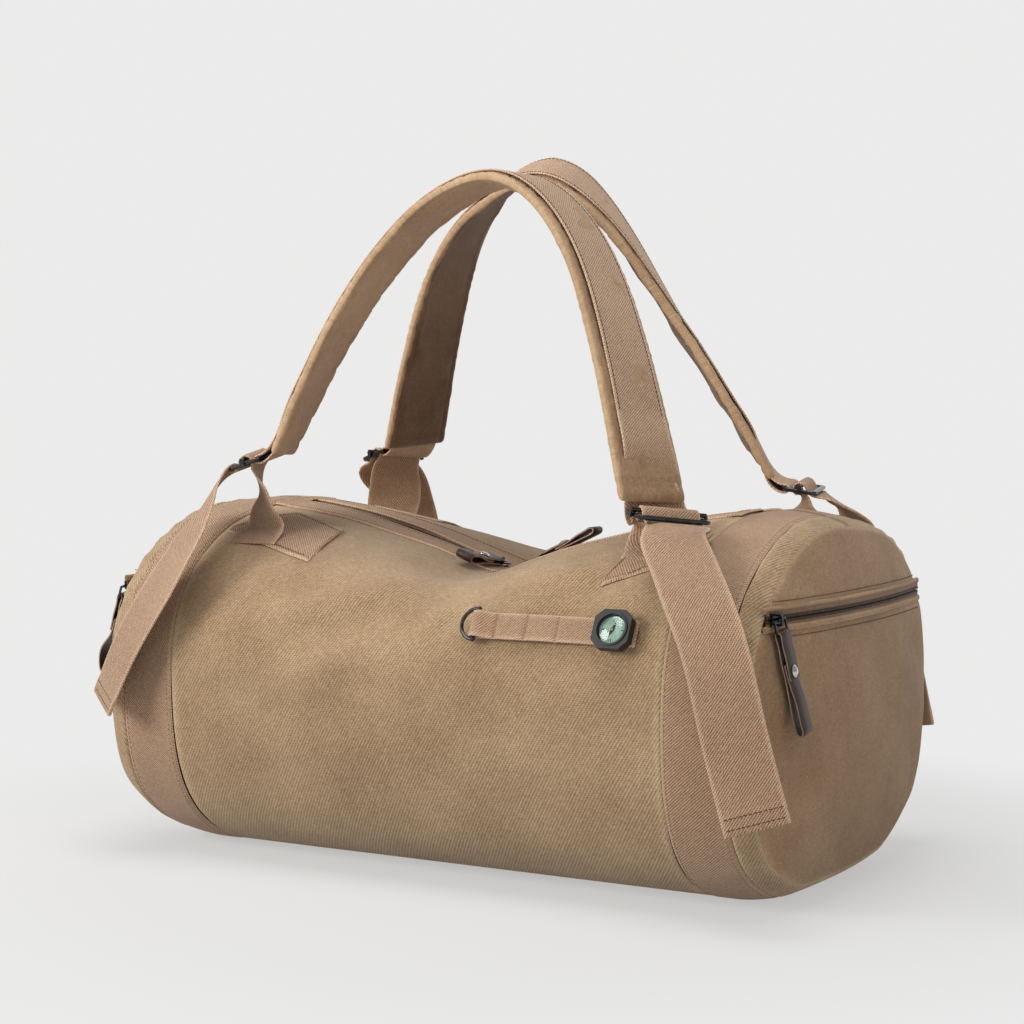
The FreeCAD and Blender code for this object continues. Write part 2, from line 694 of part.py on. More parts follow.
def ribbon(points, wides, width, thick, shift=0.0, side=1.0):
    """Strap of even width along a path; wides are the first, middle and last width directions."""
    wires = []
    last = len(points) - 1
    for i, p in enumerate(points):
        t = points[min(i + 1, last)] - points[max(i - 1, 0)]
        t.normalize()
        u = i / last
        if u < 0.5:
            w = wides[0] * (1 - 2 * u) + wides[1] * (2 * u)
        else:
            w = wides[1] * (2 - 2 * u) + wides[2] * (2 * u - 1)
        w = w - t * w.dot(t)
        w.normalize()
        n = t.cross(w) * side
        n.normalize()
        c = p + n * shift
        a, b = w * (width / 2), n * (thick / 2)
        wires.append(Part.makePolygon([c - a - b, c + a - b, c + a + b, c - a + b, c - a - b]))
    return Part.makeLoft(wires, True, False)


# Strap centre lines as (x, z); the arch leans in toward the middle of the bag.
STRAPS = {
    "front": {"side": -1, "lean": 0.199, "apex_y": 52.0,
              "line": ((-163, 322), (-130, 398), (-77, 479), (-18, 524), (22, 531), (82, 493), (125, 418), (170, 292))},
    "rear": {"side": 1, "lean": 0.245, "apex_y": 48.0,
             "line": ((-165, 325), (-118, 445), (-68, 519), (-5, 546), (42, 520), (101, 438), (157, 331), (171, 303))},
}
BUCKLES = {
    "front_left": ((-187, -100, 313), (-0.29, 0.95, 0.10), (1.0, 0.25, 0.35)),
    "front_right": ((184, -101, 277), (-0.62, -0.78, 0.10), (-0.78, 0.62, 0.1)),
    "rear_left": ((-190, 110, 311), (0.29, 0.95, -0.05), (1.0, -0.25, 0.35)),
    "rear_right": ((200, 110, 291), (0.25, -0.96, -0.05), (-1.0, -0.2, 0.15)),
}


def buckle_place(name):
    at, long_axis, toward_pad = BUCKLES[name]
    y_axis = V(*long_axis).normalize()
    x_axis = V(*toward_pad)
    x_axis = x_axis - y_axis * x_axis.dot(y_axis)
    x_axis.normalize()
    return frame_at(V(*at), x_axis, x_axis.cross(y_axis))


# Buckle frame: y along the bars, x toward the pad, z out of the flat.
for which in ("front", "rear"):
    frames, bars = [], []
    for name in (which + "_left", which + "_right"):
        body = doc.addObject("PartDesign::Body", "buckle_" + name)
        body.Placement = buckle_place(name)
        plan = sketch_of(body, "buckle_plan_" + name, "XY_Plane")
        bw, bl, wire = S("buckle_wide") * 0.5, S("buckle_long") * 0.5, S("buckle_wire")
        cut = 3.0
        add_loop(plan, ((-bw, -bl + cut), (-bw + cut, -bl), (bw - cut, -bl), (bw, -bl + cut),
                        (bw, bl - cut), (bw - cut, bl), (-bw + cut, bl), (-bw, bl - cut)))
        add_loop(plan, rect(-bw + wire, bw - wire, -bl + wire, bl - wire))
        plate = pad(body, plan, "buckle_frame_" + name, S("buckle_thick"), True)
        doc.recompute()
        flats = []
        for k, face in enumerate(plate.Shape.Faces):
            centre = face.CenterOfMass
            if abs(abs(centre.z) - N("buckle_thick") / 2) < 0.01:
                flats.append("Face%d" % (k + 1))
        soft = body.newObject("PartDesign::Fillet", "buckle_round_" + name)
        soft.Base = (plate, flats)
        soft.setExpression("Radius", "Sizes.buckle_round")
        frames.append(body)

        # Sliding bar that the webbing turns round, with a claw over each side of the frame.
        lift = N("buckle_thick") / 2 + N("bar_dia") / 2 + 0.25
        rod = doc.addObject("Part::Cylinder", "bar_rod_" + name)
        rod.setExpression("Radius", "Sizes.bar_dia / 2")
        rod.setExpression("Height", "Sizes.buckle_long + 2")
        rod.Placement = FreeCAD.Placement(V(0, -(N("buckle_long") + 2) / 2, 0), FreeCAD.Rotation(V(1, 0, 0), -90))
        parts = [rod]
        for s in (-1, 1):
            claw = doc.addObject("Part::Box", "bar_claw_%s_%s" % (name, "low" if s < 0 else "high"))
            claw.setExpression("Length", "Sizes.bar_dia")
            claw.Width = 1.4
            claw.setExpression("Height", "Sizes.buckle_thick + Sizes.bar_dia / 2 + 0.8")
            drop = N("buckle_thick") + N("bar_dia") / 2 + 0.8
            y0 = s * (N("buckle_long") / 2 + 0.3) - (0 if s > 0 else 1.4)
            claw.Placement = FreeCAD.Placement(V(-N("bar_dia") / 2, y0, -drop), FreeCAD.Rotation())
            parts.append(claw)
        fused = doc.addObject("Part::MultiFuse", "bar_" + name)
        fused.Shapes = parts
        fused.Placement = buckle_place(name).multiply(FreeCAD.Placement(V(0, 0, lift), FreeCAD.Rotation()))
        bars.append(fused)
    for label, pair in (("buckle_frames_" + which, frames), ("buckle_bars_" + which, bars)):
        group = doc.addObject("Part::Compound", label)
        group.Label = label
        group.Links = pair
        NODES[label] = group

doc.recompute()

TAILS = {
    "front_left": (((-207.0, -126, 291.7), (-204.5, -146, 275), (-205, -168, 250), (-219, -181, 218), (-249, -186, 170),
                    (-273, -188, 121)), ((-0.45, 0.85, 0.1), (-0.75, 0.45, 0.3), (-0.78, 0.52, 0.3))),
    "front_right": (((203, -130, 268), (219, -151, 251), (238, -171, 232), (258, -184, 200), (274, -187, 147),
                     (295, -188, 75)), ((0.75, 0.62, 0.2), (0.95, 0.27, 0.15), (0.94, 0.3, 0.2))),
    "rear_left": (((-205.4, 135.3, 289.7), (-206.5, 152, 272), (-210, 170, 248), (-218, 183, 214), (-232, 187, 160),
                   (-240, 188, 110)), ((0.55, 0.8, 0.0), (0.93, 0.3, -0.1), (0.97, 0.2, -0.1))),
    "rear_right": (((216.0, 135, 277.5), (219, 152, 260), (225, 171, 238), (238, 184, 202), (252, 187, 150),
                    (262, 188, 95)), ((-0.45, 0.85, -0.1), (-0.9, 0.35, 0.1), (-0.94, 0.25, 0.2))),
}

# Where each anchor webbing rises from its patch, as (x, z) on the strap hinge.
ANCHORS = {"front": (("left", -184, 263.5), ("right", 184, 262.0)),
           "rear": (("left", -192, 262.8), ("right", 200, 263.3))}

for which, data in STRAPS.items():
    side = data["side"]
    top = max(z for x, z in data["line"])

    def depth(z):
        return side * (data["apex_y"] + data["lean"] * (top - z))

    path = smooth([(x, depth(z), z) for x, z in data["line"]], 25)
    toe = 0.38
    wides = (V(side * toe, 1, 0), V(0, 1, 0), V(-side * toe, 1, 0))
    pad_w, pad_t, skin_t = N("pad_wide"), N("pad_thick"), N("cover")
    outside = ribbon(path, wides, pad_w, pad_t)
    inside = ribbon(path, wides, pad_w - 2 * skin_t, pad_t - 2 * skin_t)
    foam = ribbon(path[1:-1], wides, pad_w - 2 * skin_t - 3.0, pad_t - 2 * skin_t - 2.4)
    keep("strap_cover_" + which, outside.cut(inside))
    keep("strap_foam_" + which, foam)
    lift = pad_t / 2 + N("gap") + N("facing_thick") / 2
    keep("strap_facing_" + which, ribbon(path, wides, N("facing_wide"), N("facing_thick"), lift))

    anchors = []
    for end, x0, z0 in ANCHORS[which]:
        name = which + "_" + end
        here = buckle_place(name)
        into = here.multVec(V(0, 0, -(N("buckle_thick") / 2 + 1.4)))
        below = here.multVec(V(0, 0, -(N("buckle_thick") / 2 + 5.0)))
        root = V(x0, side * N("hinge_y"), z0)
        along = here.Rotation.multVec(V(0, 1, 0))
        knee = root * 0.8 + below * 0.2
        line = smooth([tuple(root), tuple(knee), tuple(below), tuple(into)], 9)
        turn = V(side * (1 if end == "left" else -1) * 1.0, 0.0, 0.0)
        turn = turn if turn.dot(along) > 0 else turn * -1
        half_way = (turn + along).normalize()
        anchors.append(ribbon(line, (turn, half_way, along), N("web_wide"), web - 0.2))
        tail_line, tail_w = TAILS[name]
        tail = ribbon(smooth(tail_line, 17), [V(*w) for w in tail_w], N("web_wide"), web - 0.2)
        keep("tail_" + name, tail)
    keep("anchor_webbing_" + which, Part.makeCompound(anchors))

doc.recompute()

# ---------------------------------------------------------------- export
bad = []
for obj in doc.Objects:
    if "Invalid" in obj.State or "Error" in obj.State:
        bad.append("%s %s" % (obj.Name, obj.State))
for label, obj in NODES.items():
    if obj.Shape.isNull() or not obj.Shape.isValid():
        bad.append("%s shape" % label)
    elif obj.Shape.Volume <= 0:
        bad.append("%s volume" % label)
if bad:
    raise RuntimeError("; ".join(bad))
os.makedirs("parts", exist_ok=True)
for label, obj in NODES.items():
    obj.Shape.exportStep("parts/%s.step" % label)
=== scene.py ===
import bpy, json, math
import numpy as np
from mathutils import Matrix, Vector


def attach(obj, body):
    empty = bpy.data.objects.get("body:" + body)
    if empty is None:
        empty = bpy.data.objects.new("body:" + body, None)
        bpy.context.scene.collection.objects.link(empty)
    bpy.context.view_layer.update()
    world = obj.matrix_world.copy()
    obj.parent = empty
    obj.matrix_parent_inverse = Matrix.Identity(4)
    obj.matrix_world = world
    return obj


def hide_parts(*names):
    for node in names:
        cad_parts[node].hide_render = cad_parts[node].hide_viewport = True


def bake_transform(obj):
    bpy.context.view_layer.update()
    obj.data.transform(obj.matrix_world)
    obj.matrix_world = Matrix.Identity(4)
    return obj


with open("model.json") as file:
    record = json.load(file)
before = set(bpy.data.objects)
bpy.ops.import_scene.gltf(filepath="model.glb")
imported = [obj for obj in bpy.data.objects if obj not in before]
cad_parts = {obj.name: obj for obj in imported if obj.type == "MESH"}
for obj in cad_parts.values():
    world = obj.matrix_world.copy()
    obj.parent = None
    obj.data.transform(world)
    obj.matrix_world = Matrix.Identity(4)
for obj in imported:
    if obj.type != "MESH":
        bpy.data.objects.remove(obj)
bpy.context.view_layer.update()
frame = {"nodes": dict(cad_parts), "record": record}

MM = 0.001
STUDIO = (0.831, 0.831, 0.828, 1)   # colour of the background, and of the floor far away
CAMERA_AT, SENSOR, LENS = (0.9113, -1.5605, 0.3657), 36.0, 79.3
FLOOR_NEAR, FLOOR_FAR = 0.36, 0.68   # metres from the bag where the lit floor fades into the background
CLOTH, HEAVY_CLOTH, END_CLOTH = 1.6, 2.2, 1.8   # cloth thickness: bands and gussets, body, end panels
STITCH = 3.6   # spacing of the stitches on webbing
WEB_WIDE, FACING_WIDE, ANCHOR_WIDE = 46.5, 48.5, 46.0
PAD_HALF, PAD_THICK_HALF, FACING_LIFT = 31.0, 5.0, 5.9
FACING_EDGE = 21.3   # the strap facing's stitch line, from its middle

# ------------------------------------------------------------------ camera, lights and floor
AZ, EL = math.radians(30.45), math.radians(2.98)
scene = bpy.context.scene
back = Vector((math.sin(AZ) * math.cos(EL), -math.cos(AZ) * math.cos(EL), math.sin(EL)))
cam_data = bpy.data.cameras.new("camera")
cam = bpy.data.objects.new("camera", cam_data)
scene.collection.objects.link(cam)
cam.location = CAMERA_AT
cam.rotation_euler = (-back).to_track_quat("-Z", "Y").to_euler()
cam_data.sensor_width = SENSOR
cam_data.lens = LENS
scene.camera = cam
scene.view_settings.view_transform = "Standard"


def area_light(name, place, aim, size, watts, colour=(1, 1, 1)):
    data = bpy.data.lights.new(name, "AREA")
    data.shape = "DISK"
    data.size = size
    data.energy = watts
    data.color = colour
    lamp = bpy.data.objects.new(name, data)
    scene.collection.objects.link(lamp)
    lamp.location = place
    lamp.rotation_euler = (Vector(aim) - Vector(place)).to_track_quat("-Z", "Y").to_euler()


area_light("key", (-1.7, -2.15, 1.2), (0, 0, 0.15), 1.3, 54, (1.0, 0.985, 0.96))
area_light("fill", (2.6, -1.5, 1.2), (0, 0, 0.15), 1.6, 9)
area_light("top", (0.05, -0.3, 2.5), (0, 0, 0.1), 1.4, 31)

world = bpy.data.worlds.new("studio")
scene.world = world
world.use_nodes = True
seen = world.node_tree.nodes["Background"]
seen.inputs["Color"].default_value = STUDIO
room = world.node_tree.nodes.new("ShaderNodeBackground")
room.inputs["Color"].default_value = (0.92, 0.93, 0.95, 1)
room.inputs["Strength"].default_value = 0.34
ray = world.node_tree.nodes.new("ShaderNodeLightPath")
pick = world.node_tree.nodes.new("ShaderNodeMixShader")
world.node_tree.links.new(ray.outputs["Is Camera Ray"], pick.inputs[0])
world.node_tree.links.new(room.outputs[0], pick.inputs[1])
world.node_tree.links.new(seen.outputs[0], pick.inputs[2])
world.node_tree.links.new(pick.outputs[0], world.node_tree.nodes["World Output"].inputs["Surface"])

# ------------------------------------------------------------------ materials


class Nodes:
    """Short helper for building a node tree."""

    def __init__(self, name):
        self.mat = bpy.data.materials.new(name)
        self.mat.use_nodes = True
        self.tree = self.mat.node_tree
        self.bsdf = self.tree.nodes["Principled BSDF"]

    def add(self, kind, **values):
        node = self.tree.nodes.new(kind)
        for key, value in values.items():
            setattr(node, key, value)
        return node

    def link(self, a, b):
        self.tree.links.new(a, b)

    def math(self, op, a, b=None, c=None):
        node = self.add("ShaderNodeMath", operation=op)
        for i, x in enumerate((a, b, c)):
            if x is None:
                continue
            if isinstance(x, (int, float)):
                node.inputs[i].default_value = x
            else:
                self.link(x, node.inputs[i])
        return node.outputs[0]

    def plus(self, a, b):
        return self.math("ADD", a, b)

    def less(self, a, b):
        return self.math("SUBTRACT", a, b)

    def times(self, a, b):
        return self.math("MULTIPLY", a, b)

    def scaled(self, a, by, then):
        return self.math("MULTIPLY_ADD", a, by, then)

    def blend_in(self, fac, a, b):
        """Mix two shaders."""
        node = self.add("ShaderNodeMixShader")
        for socket, value in zip(node.inputs, (fac, a, b)):
            self.link(value, socket)
        return node.outputs[0]

    def cloth(self):
        """Cloth coordinates in millimetres, along and across the weave."""
        node = self.add("ShaderNodeAttribute", attribute_name="cloth")
        return node.outputs["Vector"]

    def split(self, vector):
        node = self.add("ShaderNodeSeparateXYZ")
        self.link(vector, node.inputs[0])
        return node.outputs[0], node.outputs[1], node.outputs[2]

    def join(self, x, y, z=0.0):
        node = self.add("ShaderNodeCombineXYZ")
        for i, v in enumerate((x, y, z)):
            if isinstance(v, (int, float)):
                node.inputs[i].default_value = v
            else:
                self.link(v, node.inputs[i])
        return node.outputs[0]

    def noise(self, vector, scale, detail=2.0, rough=0.5):
        node = self.add("ShaderNodeTexNoise")
        self.link(vector, node.inputs["Vector"])
        node.inputs["Scale"].default_value = scale
        node.inputs["Detail"].default_value = detail
        node.inputs["Roughness"].default_value = rough
        return node.outputs["Fac"]

    def ramp(self, fac, *stops):
        node = self.add("ShaderNodeValToRGB")
        self.link(fac, node.inputs[0])
        els = node.color_ramp.elements
        while len(els) < len(stops):
            els.new(0.5)
        for el, (pos, col) in zip(els, stops):
            el.position = pos
            el.color = (*col, 1)
        return node.outputs[0]

    def mix(self, fac, a, b, mode="MIX"):
        node = self.add("ShaderNodeMix", data_type="RGBA", blend_type=mode)
        for sock, v in ((node.inputs[0], fac), (node.inputs[6], a), (node.inputs[7], b)):
            if isinstance(v, (int, float)):
                sock.default_value = v
            elif isinstance(v, tuple):
                sock.default_value = (*v, 1)
            else:
                self.link(v, sock)
        return node.outputs[2]

    def bump(self, height, strength, distance):
        node = self.add("ShaderNodeBump")
        node.inputs["Strength"].default_value = strength
        node.inputs["Distance"].default_value = distance
        self.link(height, node.inputs["Height"])
        self.link(node.outputs[0], self.bsdf.inputs["Normal"])

    def set(self, **values):
        for key, value in values.items():
            self.bsdf.inputs[key.replace("_", " ")].default_value = value
        return self.mat


def lin(r, g, b):
    """sRGB 0..255 to linear."""
    return tuple((c / 255 / 12.92) if c < 10.3 else ((c / 255 + 0.055) / 1.055) ** 2.4 for c in (r, g, b))


def cloth_material(name, dark, mid, light, pitch=1.5, twill=0.0, fuzz=0.35, bump=0.35, blotch=0.5, rib=0.5):
    """Woven cloth: yarns at a pitch in mm, plain or twill, with slubs, faded patches and rubbed edges;
    negative values of the third cloth coordinate darken stitched grooves as painted shade.
    """
    n = Nodes(name)
    uv = n.cloth()
    u, v, edge_tone = n.split(uv)
    flat = n.join(u, v)
    wob = n.noise(flat, 0.35, 1.0)
    wob = n.times(n.less(wob, 0.5), 1.1)
    k = 2 * math.pi / pitch
    if twill:
        diag = n.plus(n.plus(u, n.times(v, twill)), wob)
        lines = n.math("SINE", n.times(diag, k * 0.55))
        cross = n.math("SINE", n.times(n.plus(v, wob), k))
        cell = n.math("SINE", n.times(n.less(v, n.times(u, 0.45)), k * 0.8))
        lines = n.times(lines, n.scaled(cell, 0.4, 0.6))
        weave = n.plus(n.times(lines, rib * 1.5), n.times(cross, 0.2))
    else:
        a = n.math("SINE", n.times(n.plus(u, wob), k))
        b = n.math("SINE", n.times(n.plus(v, wob), k))
        weave = n.times(n.times(a, b), rib * 1.3)
    slub_u = n.noise(n.join(n.times(u, 0.28), v), 0.95, 2.0, 0.6)
    slub_v = n.noise(n.join(u, n.times(v, 0.28), 7.0), 0.95, 2.0, 0.6)
    slub = n.plus(slub_u, slub_v)
    slub = n.times(n.less(slub, 1.0), 2.4)
    fine = n.less(n.noise(flat, 2.2, 2.0, 0.7), 0.5)
    height = n.plus(n.plus(weave, n.times(slub, 0.55)), n.times(fine, fuzz * 2))
    wide = n.noise(flat, 0.011, 4.0, 0.6)
    fleck = n.less(n.noise(n.join(n.times(u, 0.55), v, 3.0), 0.55, 2.0, 0.7), 0.5)
    grain = n.plus(n.times(weave, 0.30), n.times(slub, 0.12))
    grain = n.plus(grain, n.plus(n.times(fine, fuzz * 0.5), n.times(fleck, 0.2 if twill > 0.8 else 0.4)))
    tone = n.plus(grain, n.times(n.less(wide, 0.5), blotch))
    # third cloth coordinate: positive lightens rubbed edges (wear), negative is painted shade in stitched
    # grooves
    tone = n.plus(n.plus(tone, n.times(edge_tone, 0.35)), 0.5)
    colour = n.ramp(tone, (0.12, dark), (0.5, mid), (0.88, light))
    n.link(colour, n.bsdf.inputs["Base Color"])
    rough = n.scaled(height, 0.05, 0.88)
    n.link(rough, n.bsdf.inputs["Roughness"])
    n.bump(height, bump, 0.0004)
    return n.set(Sheen_Weight=0.22, Sheen_Roughness=0.5, Specular_IOR_Level=0.18)


def metal_material(name, colour, rough, worn):
    n = Nodes(name)
    co = n.add("ShaderNodeTexCoord").outputs["Object"]
    grain = n.noise(co, 900, 3.0, 0.6)
    patch = n.noise(co, 120, 3.0, 0.6)
    rub = n.times(n.less(patch, 0.45), 1.5)
    n.link(n.mix(n.math("MAXIMUM", rub, 0.0), colour, worn), n.bsdf.inputs["Base Color"])
    n.link(n.scaled(grain, 0.2, rough - 0.08), n.bsdf.inputs["Roughness"])
    n.bump(grain, 0.08, 0.0002)
    return n.set(Metallic=1.0)


def leather_material(name, dark, light, rough=0.42):
    n = Nodes(name)
    co = n.add("ShaderNodeTexCoord").outputs["Object"]
    voronoi = n.add("ShaderNodeTexVoronoi", feature="DISTANCE_TO_EDGE")
    n.link(co, voronoi.inputs["Vector"])
    voronoi.inputs["Scale"].default_value = 900
    pores = n.math("MINIMUM", n.times(voronoi.outputs["Distance"], 4.0), 1.0)
    broad = n.noise(co, 60, 4.0, 0.6)
    n.link(n.ramp(broad, (0.3, dark), (0.75, light)), n.bsdf.inputs["Base Color"])
    n.link(n.scaled(broad, 0.2, rough - 0.1), n.bsdf.inputs["Roughness"])
    n.bump(n.plus(pores, broad), 0.25, 0.0003)
    return n.set(Specular_IOR_Level=0.45)


def plain_material(name, dark, light, rough=0.6, scale=200, **more):
    n = Nodes(name)
    co = n.add("ShaderNodeTexCoord").outputs["Object"]
    tone = n.noise(co, scale, 3.0, 0.6)
    n.link(n.ramp(tone, (0.3, dark), (0.7, light)), n.bsdf.inputs["Base Color"])
    n.link(n.scaled(tone, 0.15, rough - 0.07), n.bsdf.inputs["Roughness"])
    n.bump(tone, 0.1, 0.0003)
    return n.set(**more)


def cloths():
    """Cloth colours (dark, mid, light) and weaves."""
    web = dict(pitch=1.25, twill=0.9, rib=0.75, bump=0.8, blotch=0.3)
    table = (
        ("canvas", (108, 82, 55), (166, 137, 103), (208, 182, 148),
         dict(pitch=1.5, twill=0.62, rib=0.45, bump=0.75)),
        ("canvas_end", (102, 74, 49), (158, 124, 88), (200, 166, 127),
         dict(pitch=1.4, rib=0.2, fuzz=0.9, bump=0.6)),
        # lighter copy of the webbing for the strap facing: painted light
        ("webbing_facing_painted_light", (124, 90, 66), (192, 156, 124), (228, 198, 168), web),
        ("webbing", (110, 78, 55), (174, 139, 109), (214, 182, 152), web),
        ("strap_canvas", (108, 79, 54), (172, 138, 104), (210, 178, 142),
         dict(pitch=1.4, rib=0.25, fuzz=0.7, bump=0.6)),
        # darker copy of the strap canvas for the rear pad's inner face: painted shade
        ("strap_canvas_painted_shade", (72, 53, 38), (116, 89, 66), (148, 118, 91),
         dict(pitch=1.6, rib=0.35, fuzz=0.8, bump=0.7)),
        ("zip_tape", (88, 64, 47), (124, 94, 70), (150, 118, 92), dict(pitch=1.0, twill=0.5, bump=0.4)),
    )
    return [cloth_material(name, lin(*dark), lin(*mid), lin(*light), **weave) for name, dark, mid, light,
            weave in table]


CANVAS, CANVAS_END, LIT_FACING_WEBBING, WEBBING, STRAP_CLOTH, SHADED_STRAP_CLOTH, ZIP_TAPE = cloths()
THREAD = plain_material("thread", lin(126, 92, 70), lin(176, 138, 112), 0.7, 900)
DARK_THREAD = plain_material("dark_thread", lin(62, 44, 34), lin(84, 60, 48), 0.7, 900)
GUNMETAL = metal_material("gunmetal", (0.055, 0.055, 0.058), 0.24, (0.14, 0.135, 0.13))
NICKEL = metal_material("nickel", (0.62, 0.60, 0.57), 0.22, (0.45, 0.43, 0.40))
LEATHER = leather_material("leather", lin(40, 25, 20), lin(66, 44, 36))
RAW_EDGE = leather_material("leather_edge", lin(150, 122, 100), lin(186, 160, 136), 0.7)
COIL = plain_material("zip_coil", lin(64, 46, 36), lin(92, 69, 54), 0.45, 400)
BLACK = plain_material("moulded_black", lin(18, 18, 19), lin(30, 30, 31), 0.42, 500)
BRASS = metal_material("brass", (0.55, 0.38, 0.15), 0.3, (0.4, 0.28, 0.12))

# ------------------------------------------------------------------ mesh helpers


def finish_mesh(name, verts, faces, mats, body, face_mat=None, cloth=None, smooth=40):
    mesh = bpy.data.meshes.new(name)
    mesh.from_pydata([tuple(v) for v in np.asarray(verts) * MM], [],
                     [tuple(int(i) for i in f) for f in faces])
    for m in (mats if isinstance(mats, (list, tuple)) else [mats]):
        mesh.materials.append(m)
    if face_mat is not None:
        mesh.polygons.foreach_set("material_index", np.asarray(face_mat, np.int32))
    if cloth is not None:
        layer = mesh.attributes.new("cloth", "FLOAT_VECTOR", "POINT")
        layer.data.foreach_set("vector", np.asarray(cloth, np.float32).ravel())
    mesh.polygons.foreach_set("use_smooth", [True] * len(mesh.polygons))
    mesh.set_sharp_from_angle(angle=math.radians(smooth))
    mesh.validate()
    mesh.update()
    obj = bpy.data.objects.new(name, mesh)
    scene.collection.objects.link(obj)
    if body:
        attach(obj, body)
    return obj


def grid_faces(nu, nv, start=0, flip=False, wrap=False):
    i = np.arange(nu - 1)[:, None]
    j = np.arange(nv if wrap else nv - 1)[None, :]
    a = start + i * nv + j
    b = start + i * nv + (j + 1) % nv
    c = b + nv
    d = a + nv
    q = np.stack([a, b, c, d] if flip else [a, d, c, b], -1).reshape(-1, 4)
    return q


def normals(P, wrap=False):
    du = np.gradient(P, axis=0)
    if wrap:
        dv = (np.roll(P, -1, axis=1) - np.roll(P, 1, axis=1)) / 2
    else:
        dv = np.gradient(P, axis=1)
    n = np.cross(du, dv)
    size = np.linalg.norm(n, axis=-1, keepdims=True)
    return n / np.maximum(size, 1e-9)


def shell(P, thick, coords, out=1.0, wrap=False):
    """Closed cloth solid from its outer face: points, faces and cloth coordinates."""
    nu, nv = P.shape[:2]
    N = normals(P, wrap) * out
    Q = P - N * thick
    verts = np.concatenate([P.reshape(-1, 3), Q.reshape(-1, 3)])
    m = nu * nv
    faces = [grid_faces(nu, nv, 0, out < 0, wrap), grid_faces(nu, nv, m, out > 0, wrap)]
    idx = np.arange(m).reshape(nu, nv)
    rims = []
    loops = [(idx[0], wrap), (idx[-1][::-1], wrap)]
    if not wrap:
        loops += [(idx[:, -1], False), (idx[:, 0][::-1], False)]
    for line, closed in loops:
        nxt = np.roll(line, -1) if closed else line[1:]
        cur = line if closed else line[:-1]
        q = np.stack([cur, nxt, nxt + m, cur + m], -1)
        rims.append(q if out > 0 else q[:, ::-1])
    faces = np.concatenate(faces + rims)
    both = np.concatenate([coords.reshape(-1, 3), coords.reshape(-1, 3)])
    return verts, faces, both


def merge(parts):
    """Join several (verts, faces, coords, material index) groups."""
    verts, faces, coords, mats = [], [], [], []
    base = 0
    for v, f, c, m in parts:
        verts.append(np.asarray(v, float))
        faces += [tuple(np.asarray(q) + base) for q in f]
        coords.append(np.asarray(c, float) if c is not None else np.zeros((len(v), 3)))
        mats += [m] * len(f)
        base += len(v)
    return np.concatenate(verts), faces, np.concatenate(coords), mats


def ripple(u, v, scale, seed):
    """Soft repeatable undulation from a few crossed waves, about -1..1."""
    total = 0
    for k in range(6):
        a = seed * 1.7 + k * 2.399
        f = (0.6 + 0.23 * k) * 2 * math.pi / scale
        phase = f * (u * math.cos(a) + v * math.sin(a)) + seed * 3.1 + k * 1.3
        total = total + np.sin(phase) / (1 + 0.35 * k)
    return total / 3.2


def bumpy(d, width):
    return np.exp(-(d / width) ** 2)


def run_of(P):
    """Length along a line at each of its points."""
    return np.concatenate([[0], np.cumsum(np.linalg.norm(np.diff(P, axis=0), axis=1))])


def read_off(s, run, P):
    """Values of P, typed at run, read at s."""
    return np.stack([np.interp(s, run, P[:, i]) for i in range(3)], -1)


def unit(v):
    return v / np.maximum(np.linalg.norm(v, axis=-1, keepdims=True), 1e-9)


def square_to(w, t):
    return unit(w - t * np.sum(w * t, -1, keepdims=True))


def nearest(path, keys):
    """Index of the path point closest to each key."""
    return [int(np.argmin(np.linalg.norm(path - q, axis=1))) for q in np.array(keys)]


def steer(path, places, wides):
    """Tangent, width and outward directions, from widths typed at places along a path."""
    t = unit(np.gradient(path, axis=0))
    w = square_to(read_off(np.arange(len(path)), places, np.array(wides)), t)
    return t, w, unit(np.cross(t, w))


# ------------------------------------------------------------------ the bag's surface
HALF_DEPTH, TOP, MID = 175.0, 282.0, 145.0
NT, NB, DIP = 2.15, 2.8, 6.0
SAG_R, SAG_X, VALLEY, SAG_W = 780.0, 300.0, 40.0, 168.0
PANEL, BAND0, BAND1, SEAM, END_K, BULGE = 214.7, 215.0, 263.0, 281.0, 0.96, 18.0


def crown(x):
    x = np.abs(x)
    arc = TOP - SAG_R + np.sqrt(SAG_R ** 2 - (SAG_X - x) ** 2)
    centre = TOP - SAG_R + math.sqrt((SAG_R + VALLEY) ** 2 - SAG_X ** 2)
    dip = centre - np.sqrt(np.maximum(VALLEY ** 2 - x ** 2, 0))
    return np.where(x < SAG_X - SAG_X * SAG_R / (SAG_R + VALLEY), dip, arc)


def top_z(x, y):
    rest = np.maximum(0, 1 - np.abs(y / HALF_DEPTH) ** NT)
    fade = np.maximum(0, 1 - (y / SAG_W) ** 2) ** 1.5
    return MID + (TOP - MID) * rest ** (1 / NT) - (TOP - crown(x)) * fade


def base_z(y):
    rest = np.maximum(0, 1 - np.abs(y / HALF_DEPTH) ** NB)
    return np.maximum(0, MID - (MID + DIP) * rest ** (1 / NB))


def girth(x, count, y_end=0.0):
    """Half section at x from the middle of the base to the top: y, z and run length, evenly spaced."""
    a = np.linspace(0, math.pi / 2, 400)
    y1 = HALF_DEPTH * np.sin(a)
    y2 = HALF_DEPTH * np.cos(a)
    y2 = y2[(y2 >= y_end)]
    if y2[-1] > y_end:
        y2 = np.append(y2, y_end)
    y = np.concatenate([y1[:-1], y2])
    z = np.concatenate([base_z(y1[:-1]), top_z(x, y2)])
    run = np.concatenate([[0], np.cumsum(np.hypot(np.diff(y), np.diff(z)))])
    s = np.linspace(0, run[-1], count)
    return np.interp(s, run, y), np.interp(s, run, z), s


